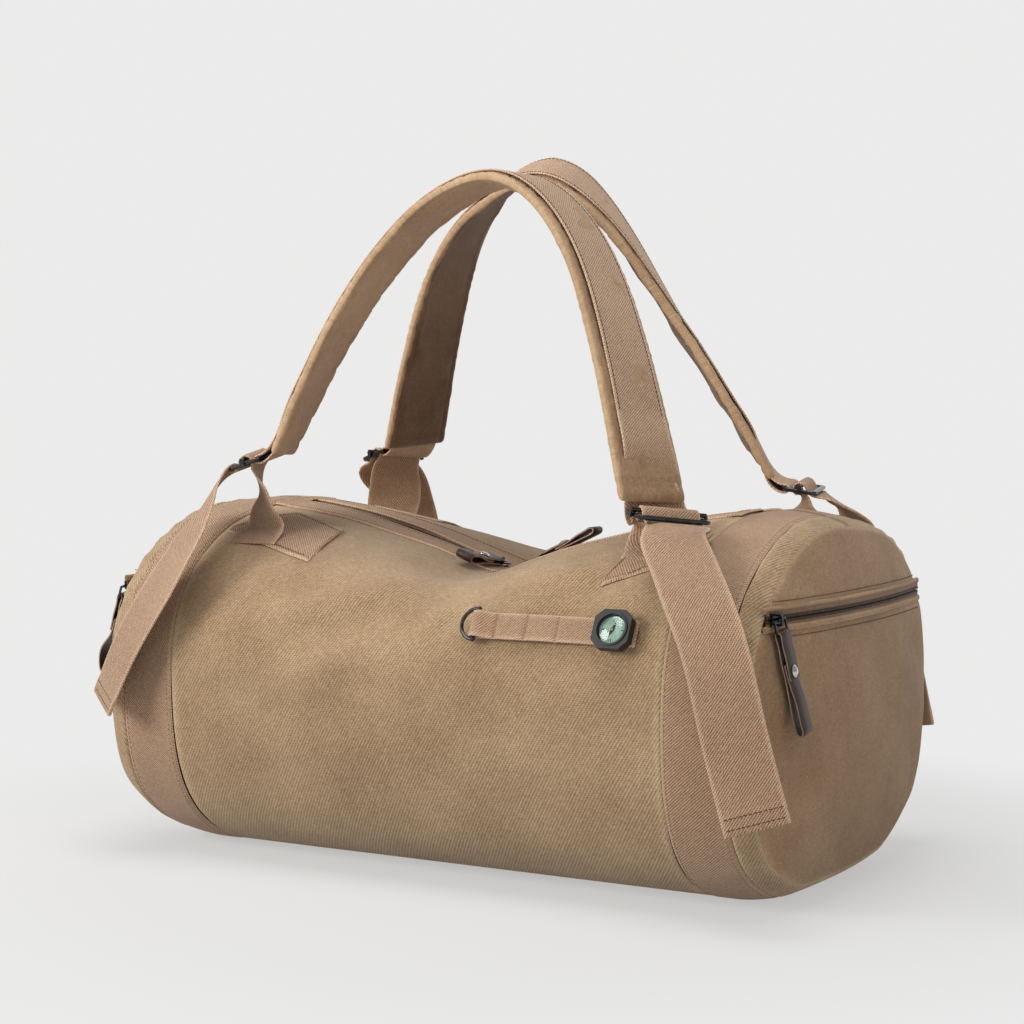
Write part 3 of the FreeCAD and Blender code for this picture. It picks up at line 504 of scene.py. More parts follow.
def section_grid(xs, count, y_end=0.0, closed=False):
    """Grid over x and round the girth, front mouth edge to rear mouth edge."""
    P, C = [], []
    for x in xs:
        y, z, s = girth(abs(x), count, y_end)
        yy = np.concatenate([-y[::-1], y[1:]])
        zz = np.concatenate([z[::-1], z[1:]])
        ss = np.concatenate([-s[::-1], s[1:]])
        if closed:
            yy, zz, ss = yy[:-1], zz[:-1], ss[:-1]
        P.append(np.stack([np.full_like(yy, x), yy, zz], -1))
        C.append(np.stack([np.full_like(ss, x), ss, np.zeros_like(ss)], -1))
    return np.array(P), np.array(C)


def spaced(a, b, step, fine=1.0, rows=4):
    """Stations from a to b with a few close rows at each end."""
    ends = [a + fine * k for k in range(rows)]
    other = [b - fine * k for k in range(rows)][::-1]
    mid = np.linspace(ends[-1], other[0], max(3, int((other[0] - ends[-1]) / step) + 1))
    return np.array(ends[:-1] + list(mid) + other[1:])


def tuck(d, depth=2.2, reach=3.5):
    """How far a cloth edge turns in, at distance d from the edge."""
    k = np.clip(1 - d / reach, 0, 1)
    return depth * k ** 2


def turned(x, z, cx, cz, ang):
    """Distances along and across a line at an angle through one place."""
    u = (x - cx) * math.cos(ang) + (z - cz) * math.sin(ang)
    return u, -(x - cx) * math.sin(ang) + (z - cz) * math.cos(ang)


def sag_waves(P, C):
    """Slack folds of the filled bag, as a distance along the normal."""
    x, y, z = P[..., 0], P[..., 1], P[..., 2]
    front = np.clip(-y / 60, 0, 1)
    rear = np.clip(y / 60, 0, 1)
    w = 1.6 * ripple(x, C[..., 1], 210, 1.3) + 0.7 * ripple(x, C[..., 1], 90, 2.1)
    # long dents below the front ridge and pull lines from the patches
    for cx, cz, lx, lz, ang, deep in (
            (70, 196, 75, 20, -0.25, -3.4), (-50, 192, 62, 17, 0.22, -5.2), (-46, 219, 66, 11, 0.26, 3.4),
            (-70, 160, 50, 12, 0.35, 1.6), (150, 228, 38, 9, 0.5, -3.4),
            (115, 236, 40, 6, 0.25, 1.8), (-120, 226, 45, 9, -0.3, -1.8), (-10, 120, 120, 40, 0.1, 1.5),
            (190, 150, 18, 60, 0.1, -1.6), (-196, 140, 16, 60, -0.1, -1.6), (60, 60, 90, 22, 0.08, -1.6),
            (-110, 70, 80, 20, -0.1, -1.3)):
        u, v = turned(x, z, cx, cz, ang)
        w = w + deep * np.exp(-(u / lx) ** 2 - (v / lz) ** 2) * (front + 0.8 * rear)
    high = np.clip((z - 195) / 25, 0, 1)
    w = w - 9.0 * high * np.exp(-((x - 22 + 0.25 * (y + 112)) / 52) ** 2 - ((y + 104) / 42) ** 2)
    w = w - 4.0 * high * np.exp(-((x + 18) / 50) ** 2 - ((y - 105) / 45) ** 2)
    # crisp ridge that climbs from the dip to the right-hand patch
    along, across = (x - 95) * 0.94 + (y + 126) * 0.05, (y + 126) + 0.16 * (x - 95)
    w = w + 3.2 * high * np.exp(-(along / 62) ** 2 - (across / 8.5) ** 2)
    w = w - 2.2 * high * np.exp(-((along + 8) / 58) ** 2 - ((across - 17) / 11) ** 2)
    w = w + 2.0 * front * np.exp(-((x + 75) / 60) ** 2 - ((z - 238 - 0.12 * (x + 75)) / 8) ** 2)
    # short pull lines that fan out from the patch tips
    for px, pz, ang, length, deep in ((148, 226, 0.50, 55, 1.9), (146, 214, 0.30, 70, -1.7),
                                      (150, 203, 0.12, 80, 1.3),
                                      (-112, 232, -0.42, 50, 1.6), (-116, 220, -0.25, 60, -1.5),
                                              (44, 212, 0.9, 24, -1.8),
                                      (28, 216, 1.15, 26, 1.9)):
        u, v = turned(x, z, px, pz, ang)
        u = u if px < 0 else -u
        w = w + deep * front * np.clip(u / 12, 0, 1) * np.exp(-(u / length) ** 2 - (v / 5.0) ** 2)
    flat = np.clip(z / 25, 0, 1)
    return w * flat


def slump(P):
    """Top of each end sinks where nothing inside holds it up."""
    x, y, z = np.abs(P[..., 0]), P[..., 1], P[..., 2]
    k = np.clip((x - 228) / 50, 0, 1)
    k = k * k * (3 - 2 * k)
    h = np.clip((z - 150) / 132, 0, 1.1) ** 2
    Q = P.copy()
    Q[..., 2] -= (6.5 + 2.0 * np.sin(y / 29.0 + 0.6)) * k * h
    low = np.clip((x - 232) / 57, 0, 1) ** 1.6 * np.clip((70 - z) / 70, 0, 1) ** 1.3
    Q[..., 2] += (8.5 + np.where(y > 0, 10.0, 5.0) * (y / 95) ** 2) * low
    return Q


def facing_out(P, i, j):
    """Normals of a closed section grid, turned outward by the look of one front point."""
    N = normals(P, True)
    return N * (1.0 if N[i, j] @ np.array([0, -1, 0]) > 0 else -1.0)


def band_ripple(P, C, s):
    return 0.7 * ripple(P[..., 0] * s, C[..., 1], 120, 4.0) * np.clip(P[..., 2] / 25, 0, 1)


def solid_cloth(name, P, C, thick, mat, body, out=1.0, wrap=False, nodes=()):
    if wrap:
        i, j = P.shape[0] // 2, P.shape[1] // 4
        out = 1.0 if normals(P, True)[i, j] @ (P[i, j] - np.array([P[i, j, 0], 0, MID])) > 0 else -1.0
    v, f, c = shell(P, thick, C, out, wrap)
    obj = finish_mesh(name, v, f, mat, body, cloth=c)
    if nodes:
        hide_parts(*nodes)
    return obj


# main panel, open along the mouth
MOUTH_X = 205.0
xs = spaced(-PANEL, PANEL, 4.5)
P, C = section_grid(xs, 96, 9.0)
N = normals(P)
sign = 1.0 if N[len(xs) // 2, 20] @ np.array([0, -1, 0]) > 0 else -1.0
N = N * sign
w = sag_waves(P, C) - tuck(PANEL - np.abs(P[..., 0]), 1.3)
w = np.where(P[..., 2] + w * N[..., 2] < 0.2, 0, w)
P = P + N * w[..., None]
P[..., 2] = np.maximum(P[..., 2], 0.1)
C[..., 2] = 0.6 * bumpy(PANEL - np.abs(P[..., 0]), 5)
solid_cloth("panel_canvas", P, C, HEAVY_CLOTH, CANVAS, "bag", sign, False, ["main_panel"])

# webbing bands and gussets, both ends
for end, s in (("left", -1), ("right", 1)):
    xs = spaced(BAND0 + 0.1, BAND1 - 0.1, 4.5)
    P, C = section_grid(xs, 90, 0.0, True)
    N = facing_out(P, 5, 20)
    edge = np.minimum(P[..., 0] - BAND0, BAND1 - P[..., 0])
    w = band_ripple(P, C, s) - tuck(edge, 1.9, 3.0) + 0.4
    P = P + N * w[..., None]
    P[..., 2] = np.maximum(P[..., 2], 0.0)
    P[..., 0] *= s
    P = slump(P)
    C[..., 2] = 0.5 * bumpy(edge, 3)
    C = C[..., [1, 0, 2]]
    solid_cloth("band_webbing_" + end, P, C, CLOTH, WEBBING, "bag", float(s), True,
                ["band_" + end])

    xs = spaced(BAND1 + 0.4, SEAM, 3.0)
    k = 1 - (1 - END_K) * ((xs - BAND1) / (SEAM - BAND1)) ** 1.6
    P, C = section_grid(xs, 90, 0.0, True)
    P[..., 1] *= k[:, None]
    P[..., 2] = MID + (P[..., 2] - MID) * k[:, None]
    N = facing_out(P, 5, 20)
    edge = np.minimum(P[..., 0] - BAND1, SEAM + 0.1 - P[..., 0])
    w = 0.8 * ripple(P[..., 0] * s, C[..., 1], 60, 5.0 + s) * np.clip(P[..., 2] / 25, 0, 1) - tuck(edge, 2.6,
            3.2) + 0.5
    high = np.clip((P[..., 2] - 120) / 80, 0, 1)
    w = w + high * 0.8 * np.sin(C[..., 1] / 4.6 + 1.8 * np.sin(C[..., 1] / 37.0 + s)) * bumpy(edge - 5, 5)
    P = P + N * w[..., None]
    P[..., 2] = np.maximum(P[..., 2], 0.3)
    P[..., 0] *= s
    P = slump(P)
    C[..., 2] = 0.5 * bumpy(edge, 3)
    solid_cloth("gusset_canvas_" + end, P, C, CLOTH, CANVAS, "bag", float(s), True,
                ["gusset_" + end])

# end panels in two pieces round the pocket zip
ZIP_Z, ZIP_GAP = 211.0, 6.5


def end_grid(low, high, nu, nv):
    """Points (y, z) filling the end section between two heights, as rows of constant share."""
    y, z, _ = girth(SEAM, 400)
    y, z = y * END_K, MID + (z - MID) * END_K
    top = z.max() if high is None else high
    bottom = z.min() if low is None else low
    rows = []
    for zz in np.linspace(bottom, top, nu):
        mask = (z[:-1] - zz) * (z[1:] - zz) <= 0
        ys = y[:-1][mask]
        half = ys.max() if len(ys) else 0.0
        rows.append([(half * t, zz) for t in np.linspace(-1, 1, nv)])
    return np.array(rows)


def dome_x(y, z):
    """Outer face of the end panel."""
    yy, zz, _ = girth(SEAM, 400)
    ang = np.arctan2(zz - MID, yy)
    rad = np.hypot(yy, zz - MID) * END_K
    a = np.arctan2(z - MID, np.abs(y))
    order = np.argsort(ang)
    r = np.interp(a, ang[order], rad[order])
    rho = np.clip(np.hypot(y, z - MID) / r, 0, 1)
    return SEAM + 0.3 + BULGE * (1 - rho ** 2), rho


def end_waves(y, z, s):
    """Washed creases of the end panel."""
    w = 1.3 * ripple(y * s, z, 130, 6.0 + s) + 0.6 * ripple(y, z * 0.35, 30, 8.0 + s)
    side = np.clip((np.abs(y) - 70) / 60, 0, 1)
    return w + side * (2.2 * np.sin(z / 13.0 + y / 30.0) + 1.2 * np.sin(z / 6.1 + 1.3))


for end, s in (("left", -1), ("right", 1)):
    for part, low, high in (("upper", ZIP_Z + ZIP_GAP, None), ("lower", None, ZIP_Z - ZIP_GAP)):
        g = end_grid(low, high, 70 if part == "lower" else 30, 110)
        y, z = g[..., 0], g[..., 1]
        x, rho = dome_x(y, z)
        wr = end_waves(y, z, s) * np.clip((1 - rho) * 5, 0, 1)
        lip = tuck(np.abs(z - ZIP_Z) - ZIP_GAP, 1.4, 4.0)
        x = x + wr - tuck((1 - rho) * 150, 2.8, 4.0) - lip
        P = slump(np.stack([x * s, y, np.maximum(z, 0.4)], -1))
        P[..., 2] = np.where(part == "upper", np.maximum(P[..., 2], ZIP_Z + ZIP_GAP - 0.2), P[..., 2])
        C = np.stack([y, z, 0.5 * bumpy((1 - rho) * 150, 4)], -1)
        N = normals(P)
        out = 1.0 if N[10, 50, 0] * s > 0 else -1.0
        solid_cloth("end_canvas_%s_%s" % (part, end), P, C, END_CLOTH, CANVAS_END, "bag", out,
                    False,
                    ["end_%s_%s" % (part, end)])

# ------------------------------------------------------------------ strips, stitches and webbing


def cubic(points, count):
    """Even points on the natural spline through typed corners."""
    P = np.array(points, float)
    t = run_of(P)
    n = len(P)
    h = np.diff(t)
    A = np.zeros((n, n))
    B = np.zeros((n, 3))
    A[0, 0] = A[-1, -1] = 1
    for i in range(1, n - 1):
        A[i, i - 1], A[i, i], A[i, i + 1] = h[i - 1], 2 * (h[i - 1] + h[i]), h[i]
        B[i] = 3 * ((P[i + 1] - P[i]) / h[i] - (P[i] - P[i - 1]) / h[i - 1])
    c = np.linalg.solve(A, B)
    fine = np.linspace(0, t[-1], 1200)
    k = np.clip(np.searchsorted(t, fine, side="right") - 1, 0, n - 2)
    d = (c[k + 1] - c[k]) / (3 * h[k])[:, None]
    b = (P[k + 1] - P[k]) / h[k][:, None] - h[k][:, None] * (2 * c[k] + c[k + 1]) / 3
    x = (fine - t[k])[:, None]
    F = P[k] + b * x + c[k] * x ** 2 + d * x ** 3
    run = run_of(F)
    s = np.linspace(0, run[-1], count)
    return read_off(s, run, F), s


def frames(path, wides):
    """Tangent, width and outward directions, from widths spaced evenly along a strip."""
    t = unit(np.gradient(path, axis=0))
    u = np.linspace(0, 1, len(path))
    w = square_to(read_off(u, np.linspace(0, 1, len(wides)), np.array(wides, float)), t)
    return t, w, unit(np.cross(t, w))


def flat_profile(wide, thick, nw=17):
    """Closed outline of webbing with soft edges, as (across, out) pairs."""
    h = wide / 2 - thick / 2
    top = [(x, thick / 2) for x in np.linspace(-h, h, nw)]
    right = [(h + thick / 2 * math.sin(a), thick / 2 * math.cos(a)) for a in (0.6, 1.57, 2.54)]
    low = [(x, -thick / 2) for x in np.linspace(h, -h, nw)]
    left = [(-h - thick / 2 * math.sin(a), -thick / 2 * math.cos(a)) for a in (0.6, 1.57, 2.54)]
    return np.array(top + right + low + left)


def strip_mesh(path, s, t, w, n, profile, shift=0.0, bend=None, grow=None, edge_tone=0.7, caps=3):
    """Closed mesh swept along a path. bend(u, v) lifts it; grow(u) scales the thickness."""
    prof = np.asarray(profile)
    K = len(prof)
    half = np.abs(prof[:, 0]).max()
    v = prof[None, :, 0] * np.ones((len(path), 1))
    o = prof[None, :, 1] * np.ones((len(path), 1))
    U = s[:, None] * np.ones((1, K))
    if grow is not None:
        o = o * grow(U)
    if bend is not None:
        o = o + bend(U, v)
    P = path[:, None] + w[:, None] * v[..., None] + n[:, None] * (o + shift)[..., None]
    worn = edge_tone * bumpy(half - np.abs(v), 2.0)
    C = np.stack([U, v, worn], -1)
    rows, cs = [P], [C]
    for end in (0, -1):
        ring = P[end]
        mid = ring.mean(0)
        step = t[end] * (1 if end else -1)
        extra, ec = [], []
        thick = np.abs(prof[:, 1]).max()
        for k in range(1, caps + 1):
            a = math.pi / 2 * k / caps
            flat = np.sum((ring - mid) * n[end], -1, keepdims=True) * n[end]
            rest = ring - mid - flat
            shrink = math.cos(a) if k < caps else 0.02
            pull = 1 - thick * 0.6 * (1 - math.cos(a)) / half
            extra.append(mid + rest * pull + flat * shrink + step * thick * math.sin(a) * 0.9)
            ec.append(C[end] + np.array([0, 0, 0.5 * edge_tone * k / caps]))
        if end == 0:
            rows.insert(0, np.array(extra[::-1]))
            cs.insert(0, np.array(ec[::-1]))
        else:
            rows.append(np.array(extra))
            cs.append(np.array(ec))
    P = np.concatenate(rows)
    C = np.concatenate(cs)
    nu = len(P)
    faces = [tuple(q) for q in grid_faces(nu, K, 0, False, True)]
    faces.append(tuple(range(K)))
    faces.append(tuple((nu - 1) * K + k for k in range(K))[::-1])
    middle = P[nu // 2].mean(0)
    if np.dot(np.cross(P[nu // 2, 4] - P[nu // 2, 3], P[nu // 2 + 1, 3] - P[nu // 2, 3]),
              P[nu // 2, 3] - middle) < 0:
        faces = [f[::-1] for f in faces]
    return P.reshape(-1, 3), faces, C.reshape(-1, 3)


def beads(at, along, up, size):
    """Small rounded stitches: one capsule at each point, size is (length, width, height)."""
    at, along, up = np.asarray(at), unit(np.asarray(along)), np.asarray(up)
    side = unit(np.cross(up, along))
    up = np.cross(along, side)
    L, W, H = size
    rings = ((-0.5, 0.0), (-0.38, 0.75), (0.0, 1.0), (0.38, 0.75), (0.5, 0.0))
    verts = []
    for x, r in rings:
        for k in range(6):
            a = 2 * math.pi * k / 6
            verts.append((x * L, max(r, 0.12) * math.cos(a) * W / 2,
                          max(r, 0.12) * math.sin(a) * H / 2 - (1 - r) * H * 0.4))
    T = np.array(verts)
    V = at[:, None] + along[:, None] * T[None, :, :1] + side[:, None] * T[None, :, 1:2] + up[:,
            None] * T[None, :, 2:]
    F = []
    base = []
    for i in range(4):
        for k in range(6):
            a, b = i * 6 + k, i * 6 + (k + 1) % 6
            base.append((a, b, b + 6, a + 6))
    base.append(tuple(range(5, -1, -1)))
    base.append(tuple(range(24, 30)))
    for j in range(len(at)):
        F += [tuple(q + j * 30 for q in f) for f in base]
    return V.reshape(-1, 3), F, np.zeros((len(at) * 30, 3))


def stitch_line(points, up, pitch=4.2, size=(3.1, 0.75, 0.6), lift=0.1):
    """Even stitches along a run of points with their surface normals."""
    P = np.asarray(points, float)
    up = np.asarray(up, float) * np.ones((len(P), 1))
    run = run_of(P)
    count = max(2, int(run[-1] / pitch))
    s = (np.arange(count) + 0.5) * run[-1] / count
    ahead = read_off(np.minimum(s + 0.8, run[-1]), run, P)
    behind = read_off(np.maximum(s - 0.8, 0), run, P)
    n = unit(read_off(s, run, up))
    return beads(read_off(s, run, P) + n * lift, ahead - behind, n, size)


def add_piece(name, groups, mats, body, nodes=(), smooth=40):
    v, f, c, m = merge(groups)
    obj = finish_mesh(name, v, f, mats, body, m, c, smooth)
    if nodes:
        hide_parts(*nodes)
    return obj


# ------------------------------------------------------------------ pieces laid on the top
RUN_X = np.linspace(0, 216, 55)
RUN_Y = np.linspace(0, 174, 120)
RUN_T = []
for x in RUN_X:
    gy, gz, gs = girth(x, 500)
    half = gy.argmax()
    RUN_T.append(np.interp(-RUN_Y, -gy[half:], gs[half:]))
RUN_T = np.array(RUN_T)


def run_at(x, y):
    """Distance round the girth from the middle of the base to a point on the top."""
    x, y = np.abs(x), np.abs(y)
    i = np.clip(x / RUN_X[1], 0, len(RUN_X) - 1.001)
    j = np.clip(y / RUN_Y[1], 0, len(RUN_Y) - 1.001)
    a, b = i.astype(int), j.astype(int)
    p, q = i - a, j - b
    return ((RUN_T[a, b] * (1 - p) + RUN_T[a + 1, b] * p) * (1 - q) + (RUN_T[a,
            b + 1] * (1 - p) + RUN_T[a + 1, b + 1] * p) * q)


def on_top(x, y, off):
    """Point on the panel's waved outer face, raised by off, with its normal."""
    x, y = np.asarray(x, float), np.asarray(y, float)
    z = top_z(x, y)
    dx = (top_z(x + 0.3, y) - top_z(x - 0.3, y)) / 0.6
    dy = (top_z(x, y + 0.3) - top_z(x, y - 0.3)) / 0.6
    n = unit(np.stack([-dx, -dy, np.ones_like(z)], -1))
    P = np.stack([x, y, z], -1)
    s = run_at(x, y) * np.sign(y)
    w = sag_waves(P, np.stack([x, s, s], -1))
    return P + n * (w + off)[..., None], n


def laid(x, y, off, thick):
    """Cloth laid on the panel from grids of x and y: rolled edges all round."""
    P, n = on_top(x, y, off)
    du = np.linalg.norm(np.diff(P, axis=0), axis=-1)
    dv = np.linalg.norm(np.diff(P, axis=1), axis=-1)
    a = np.concatenate([np.zeros((1, P.shape[1])), np.cumsum(du, 0)])
    b = np.concatenate([np.zeros((P.shape[0], 1)), np.cumsum(dv, 1)], 1)
    edge = np.minimum(np.minimum(a, a[-1] - a), np.minimum(b, b[:, -1:] - b))
    P = P - n * (tuck(edge, 0.9, 1.6) + 0.45 * bumpy(edge - 4.2, 0.9) - 0.5 * bumpy(edge - 2.0, 1.3))[...,
            None]
    # third cloth coordinate: lighter on the rolled rim (rubbed wear), darker along the groove 4.2 mm in
    # (painted shade)
    C = np.stack([P[..., 0], P[..., 1], 0.9 * bumpy(edge, 2.2) - 0.5 * bumpy(edge - 4.2, 1.0)], -1)
    out = 1.0 if np.sum(normals(P)[len(P) // 2, P.shape[1] // 2] * n[len(P) // 2,
            P.shape[1] // 2]) > 0 else -1.0
    return shell(P, thick, C, out)


facing_groups = []
for side in (-1, 1):
    x = np.linspace(-MOUTH_X - 0.5, MOUTH_X + 0.5, 150)[:, None] * np.ones((1, 22))
    y = np.linspace(7.0, 38.0, 22)[None, :] * np.ones((150, 1)) * side
    facing_groups.append((*laid(x, y, 1.4, 1.1), 0))
    for yy in (10.0, 34.5):
        line = np.linspace(-MOUTH_X + 2, MOUTH_X - 2, 200)
        p, n = on_top(line, np.full(200, yy * side), 1.35)
        facing_groups.append((*stitch_line(p, n, STITCH), 1))
for side in (-1, 1):
    x = np.linspace(MOUTH_X - 3, MOUTH_X + 9, 9)[:, None] * np.ones((1, 40)) * side
    y = np.linspace(-38, 38, 40)[None, :] * np.ones((9, 1))
    facing_groups.append((*laid(x, y, 2.2, 0.9), 0))
add_piece("zip_facing_webbing", facing_groups, [WEBBING, DARK_THREAD], "bag", ["zip_facings"])


def edge_of(table):
    xs, ys = [a for a, b in table], [b for a, b in table]
    return lambda x: np.interp(x, xs, ys)


PATCHES = (
    ("left", -210, -112, edge_of([(-210, -108), (-112, -132)]),
     edge_of([(-210, -104), (-176, -54), (-118, -75), (-112, -130)])),
    ("right", 150, 212, edge_of([(150, -141), (212, -118)]), edge_of([(150, -139), (178, -62), (212, -84)])),
)
for side, word in ((1, "front"), (-1, "rear")):
    groups = []
    for tag, x0, x1, low, high in PATCHES:
        xs = np.linspace(x0, x1, 42)
        share = np.linspace(0, 1, 34)[None, :]
        x = xs[:, None] * np.ones((1, 34))
        y = low(x) * (1 - share) + high(x) * share
        groups.append((*laid(x, y * side, 1.7, 1.4), 0))
        for inset in (0.075, 0.925):
            yy = low(xs) * (1 - inset) + high(xs) * inset
            keep_x = slice(3, -3)
            p, n = on_top(xs[keep_x], yy[keep_x] * side, 1.55)
            groups.append((*stitch_line(p, n, STITCH), 1))
    add_piece("patch_webbing_" + word, groups, [WEBBING, DARK_THREAD], "bag", ["patches_" + word])

# ------------------------------------------------------------------ zips
REACH_Z = TOP - SAG_R
MEET = math.asin(SAG_X / (SAG_R + VALLEY))
END_A = math.asin((SAG_X - MOUTH_X + 2) / SAG_R)
VALLEY_Z = REACH_Z + math.sqrt((SAG_R + VALLEY) ** 2 - SAG_X ** 2)
MID_T = -1.2


def mouth_line(count):
    """Points and outward normals along the closed zip at the crown."""
    a = np.linspace(END_A, MEET, 400)
    left = np.stack([-SAG_X + SAG_R * np.sin(a), 0 * a, REACH_Z + SAG_R * np.cos(a)], -1)
    ln = np.stack([np.sin(a), 0 * a, np.cos(a)], -1)
    b = np.linspace(math.pi + MEET, math.pi - MEET, 60)
    dip = np.stack([VALLEY * np.sin(b), 0 * b, VALLEY_Z + VALLEY * np.cos(b)], -1)
    dn = -np.stack([np.sin(b), 0 * b, np.cos(b)], -1)
    right, rn = left[::-1] * [-1, 1, 1], ln[::-1] * [-1, 1, 1]
    P, n = np.concatenate([left, dip, right]), np.concatenate([ln, dn, rn])
    order = np.argsort(P[:, 0])
    P, n = P[order], n[order]
    run = run_of(P)
    s = np.linspace(0, run[-1], count)
    return read_off(s, run, P), unit(read_off(s, run, n)), s


dx0 = float(dome_x(np.array([0.0]), np.array([ZIP_Z]))[0][0])
dx1 = float(dome_x(np.array([147.0]), np.array([ZIP_Z]))[0][0])
ZIP_R = (147.0 ** 2 + (dx0 - dx1) ** 2) / (2 * (dx0 - dx1))
ZIP_CX = dx0 - ZIP_R
ZIP_R += 1.2
ZIP_A = math.asin(147.0 / ZIP_R)


def end_line(count, s):
    a = np.linspace(-ZIP_A, ZIP_A, count)
    n = np.stack([s * np.cos(a), np.sin(a), 0 * a], -1)
    P = np.stack([s * ZIP_CX + 0 * a, 0 * a, ZIP_Z + 0 * a], -1) + n * ZIP_R
    return P, n, (a + ZIP_A) * ZIP_R


def zip_pieces(tag, P, n, s, across, tape_in, tape_out, nodes):
    """Tapes with a raised selvedge and two rows of moulded teeth."""
    count = len(P)
    groups = []
    for side in (-1, 1):
        v = np.linspace(tape_in, tape_out, 9)
        grid = P[:, None] + across * side * v[None, :, None] + n[:,
                None] * (MID_T + 0.35 + 0.25 * bumpy(v - tape_in - 1.2, 0.6))[None, :, None]
        C = np.stack([s[:, None] * np.ones((1, 9)), v[None, :] * np.ones((count, 1)) * side,
                      np.zeros((count, 9))], -1)
        out = 1.0 if np.sum(normals(grid)[count // 2, 4] * n[count // 2]) > 0 else -1.0
        groups.append((*shell(grid, 0.7, C, out), 0))
    add_piece("zip_tape_" + tag, groups, [ZIP_TAPE], "bag", nodes[:1])
    pitch = 1.75
    groups = []
    m = int(s[-1] / pitch)
    for side in (-1, 1):
        at = (np.arange(m) + (0.25 if side < 0 else 0.75)) * s[-1] / m
        c = read_off(at, s, P)
        u = unit(read_off(at, s, n))
        c = c + across * side * 1.55 + u * (MID_T + 0.15)
        v, f, k = beads(c, np.ones((m, 1)) * across * side, u, (3.0, 1.15, 2.0))
        groups.append((v, f, k, 0))
    add_piece("zip_teeth_" + tag, groups, [COIL], "bag", nodes[1:])


P, n, s = mouth_line(260)
zip_pieces("main", P, n, s, np.array([0.0, 1.0, 0.0]), 2.6, 13.6, ["main_zip_tapes", "main_zip_teeth"])
for end, k in (("left", -1), ("right", 1)):
    P, n, s = end_line(160, k)
    zip_pieces("end_" + end, P, n, s, np.array([0.0, 0.0, 1.0]), 2.6, 6.4,
               ["end_zip_tapes_" + end, "end_zip_teeth_" + end])
    # folded welts above and below the pocket zip
    groups = []
    for up in (-1, 1):
        y = np.linspace(-149, 149, 150)
        z = np.full_like(y, ZIP_Z + up * (ZIP_GAP + 0.2))
        x, rho = dome_x(y, z)
        path = np.stack([x * k - 0.5 * k, y, z + 0.5 * ripple(y, 0 * y, 60, 3 + up)], -1)
        run = run_of(path)
        t, w, nn = frames(path, [(0, 0, 1), (0, 0, 1)])
        ang = np.linspace(0, 2 * math.pi, 14, endpoint=False)
        prof = np.stack([2.4 * np.cos(ang), 1.5 * np.sin(ang)], -1)
        groups.append((*strip_mesh(path, run, t, w, nn, prof, 0.0, None, None, 0.3), 0))
        zz = np.full_like(y, ZIP_Z + up * (ZIP_GAP + 6.5))
        xx, rho = dome_x(y, zz)
        lift = end_waves(y, zz, k) * np.clip((1 - rho) * 5, 0, 1)
        p = np.stack([(xx + lift + 0.1) * k, y, zz - (0.9 if up > 0 else 0)], -1)
        inside = np.abs(y) < 138
        groups.append((*stitch_line(p[inside], np.array([[k, 0, 0]]), STITCH), 1))
    add_piece("zip_welt_" + end, groups, [CANVAS_END, DARK_THREAD], "bag")

# ------------------------------------------------------------------ stitching along the bands
groups = []
for k in (-1, 1):
    for xx in (BAND0 + 3.4, BAND1 - 3.4):
        P, C = section_grid([xx - 1, xx, xx + 1], 400, 0.0, True)
        N = facing_out(P, 1, 80)
        w = band_ripple(P, C, k) + 0.4
        Q = (P + N * w[..., None])[1]
        keepers = Q[:, 2] > 6
        Q, M = Q[keepers], N[1][keepers]
        split = np.argmax(np.linalg.norm(np.diff(Q, axis=0), axis=1))
        Q = np.roll(Q, -split - 1, axis=0)
        M = np.roll(M, -split - 1, axis=0)
        Q[:, 0] *= k
        M = M * [k, 1, 1]
        Q = slump(Q)
        groups.append((*stitch_line(Q, M, 4.0), 0))
add_piece("band_stitches", groups, [THREAD], "bag")

# ------------------------------------------------------------------ utility strip, ring and compass
lo, hi = 100.0, 174.0
for _ in range(60):
    m = (lo + hi) / 2
    if top_z(np.array(130.0), np.array(m)) > 198.0:
        lo = m
    else:
        hi = m
grade = float(top_z(np.array(130.0), np.array(lo + 0.5)) - top_z(np.array(130.0), np.array(lo - 0.5)))
FN = unit(np.array([0.0, grade, 1.0]))
FP = np.array([0.0, -lo, 198.0])
FV = np.cross(FN, [1.0, 0, 0])


def face_at(x, v=0.0, lift=0.0):
    x, v, lift = np.broadcast_arrays(np.asarray(x, float), v, lift)
    return np.stack([x, 0 * x, 0 * x], -1) + FP + FV * v[..., None] + FN * lift[..., None]


path2 = [(192.0, 1.9), (175.0, 1.9), (150, 1.9), (100, 1.9), (76, 2.0), (70, 3.2), (66, 5.2), (62.5, 6.1),
         (59.3, 4.9), (58.6, 3.0), (60.2, 1.2), (64, 0.9), (74, 0.9)]
tacks = (77.0, 103.0, 129.0)
pts = np.array([face_at(a, 0, b) for a, b in path2])
path, s = cubic(pts, 260)
t, w, n = frames(path, [FV, FV])
if np.dot(n[60], FN) < 0:
    n = -n


def strip_bend(U, v):
    X = 192.0 - U
    lift = 0.9 * np.clip(1 - ((X - 140) / 55) ** 2, 0, 1)
    for a in tacks:
        lift = lift - 0.8 * bumpy(X - a, 2.2)
    return lift * (U < 118)


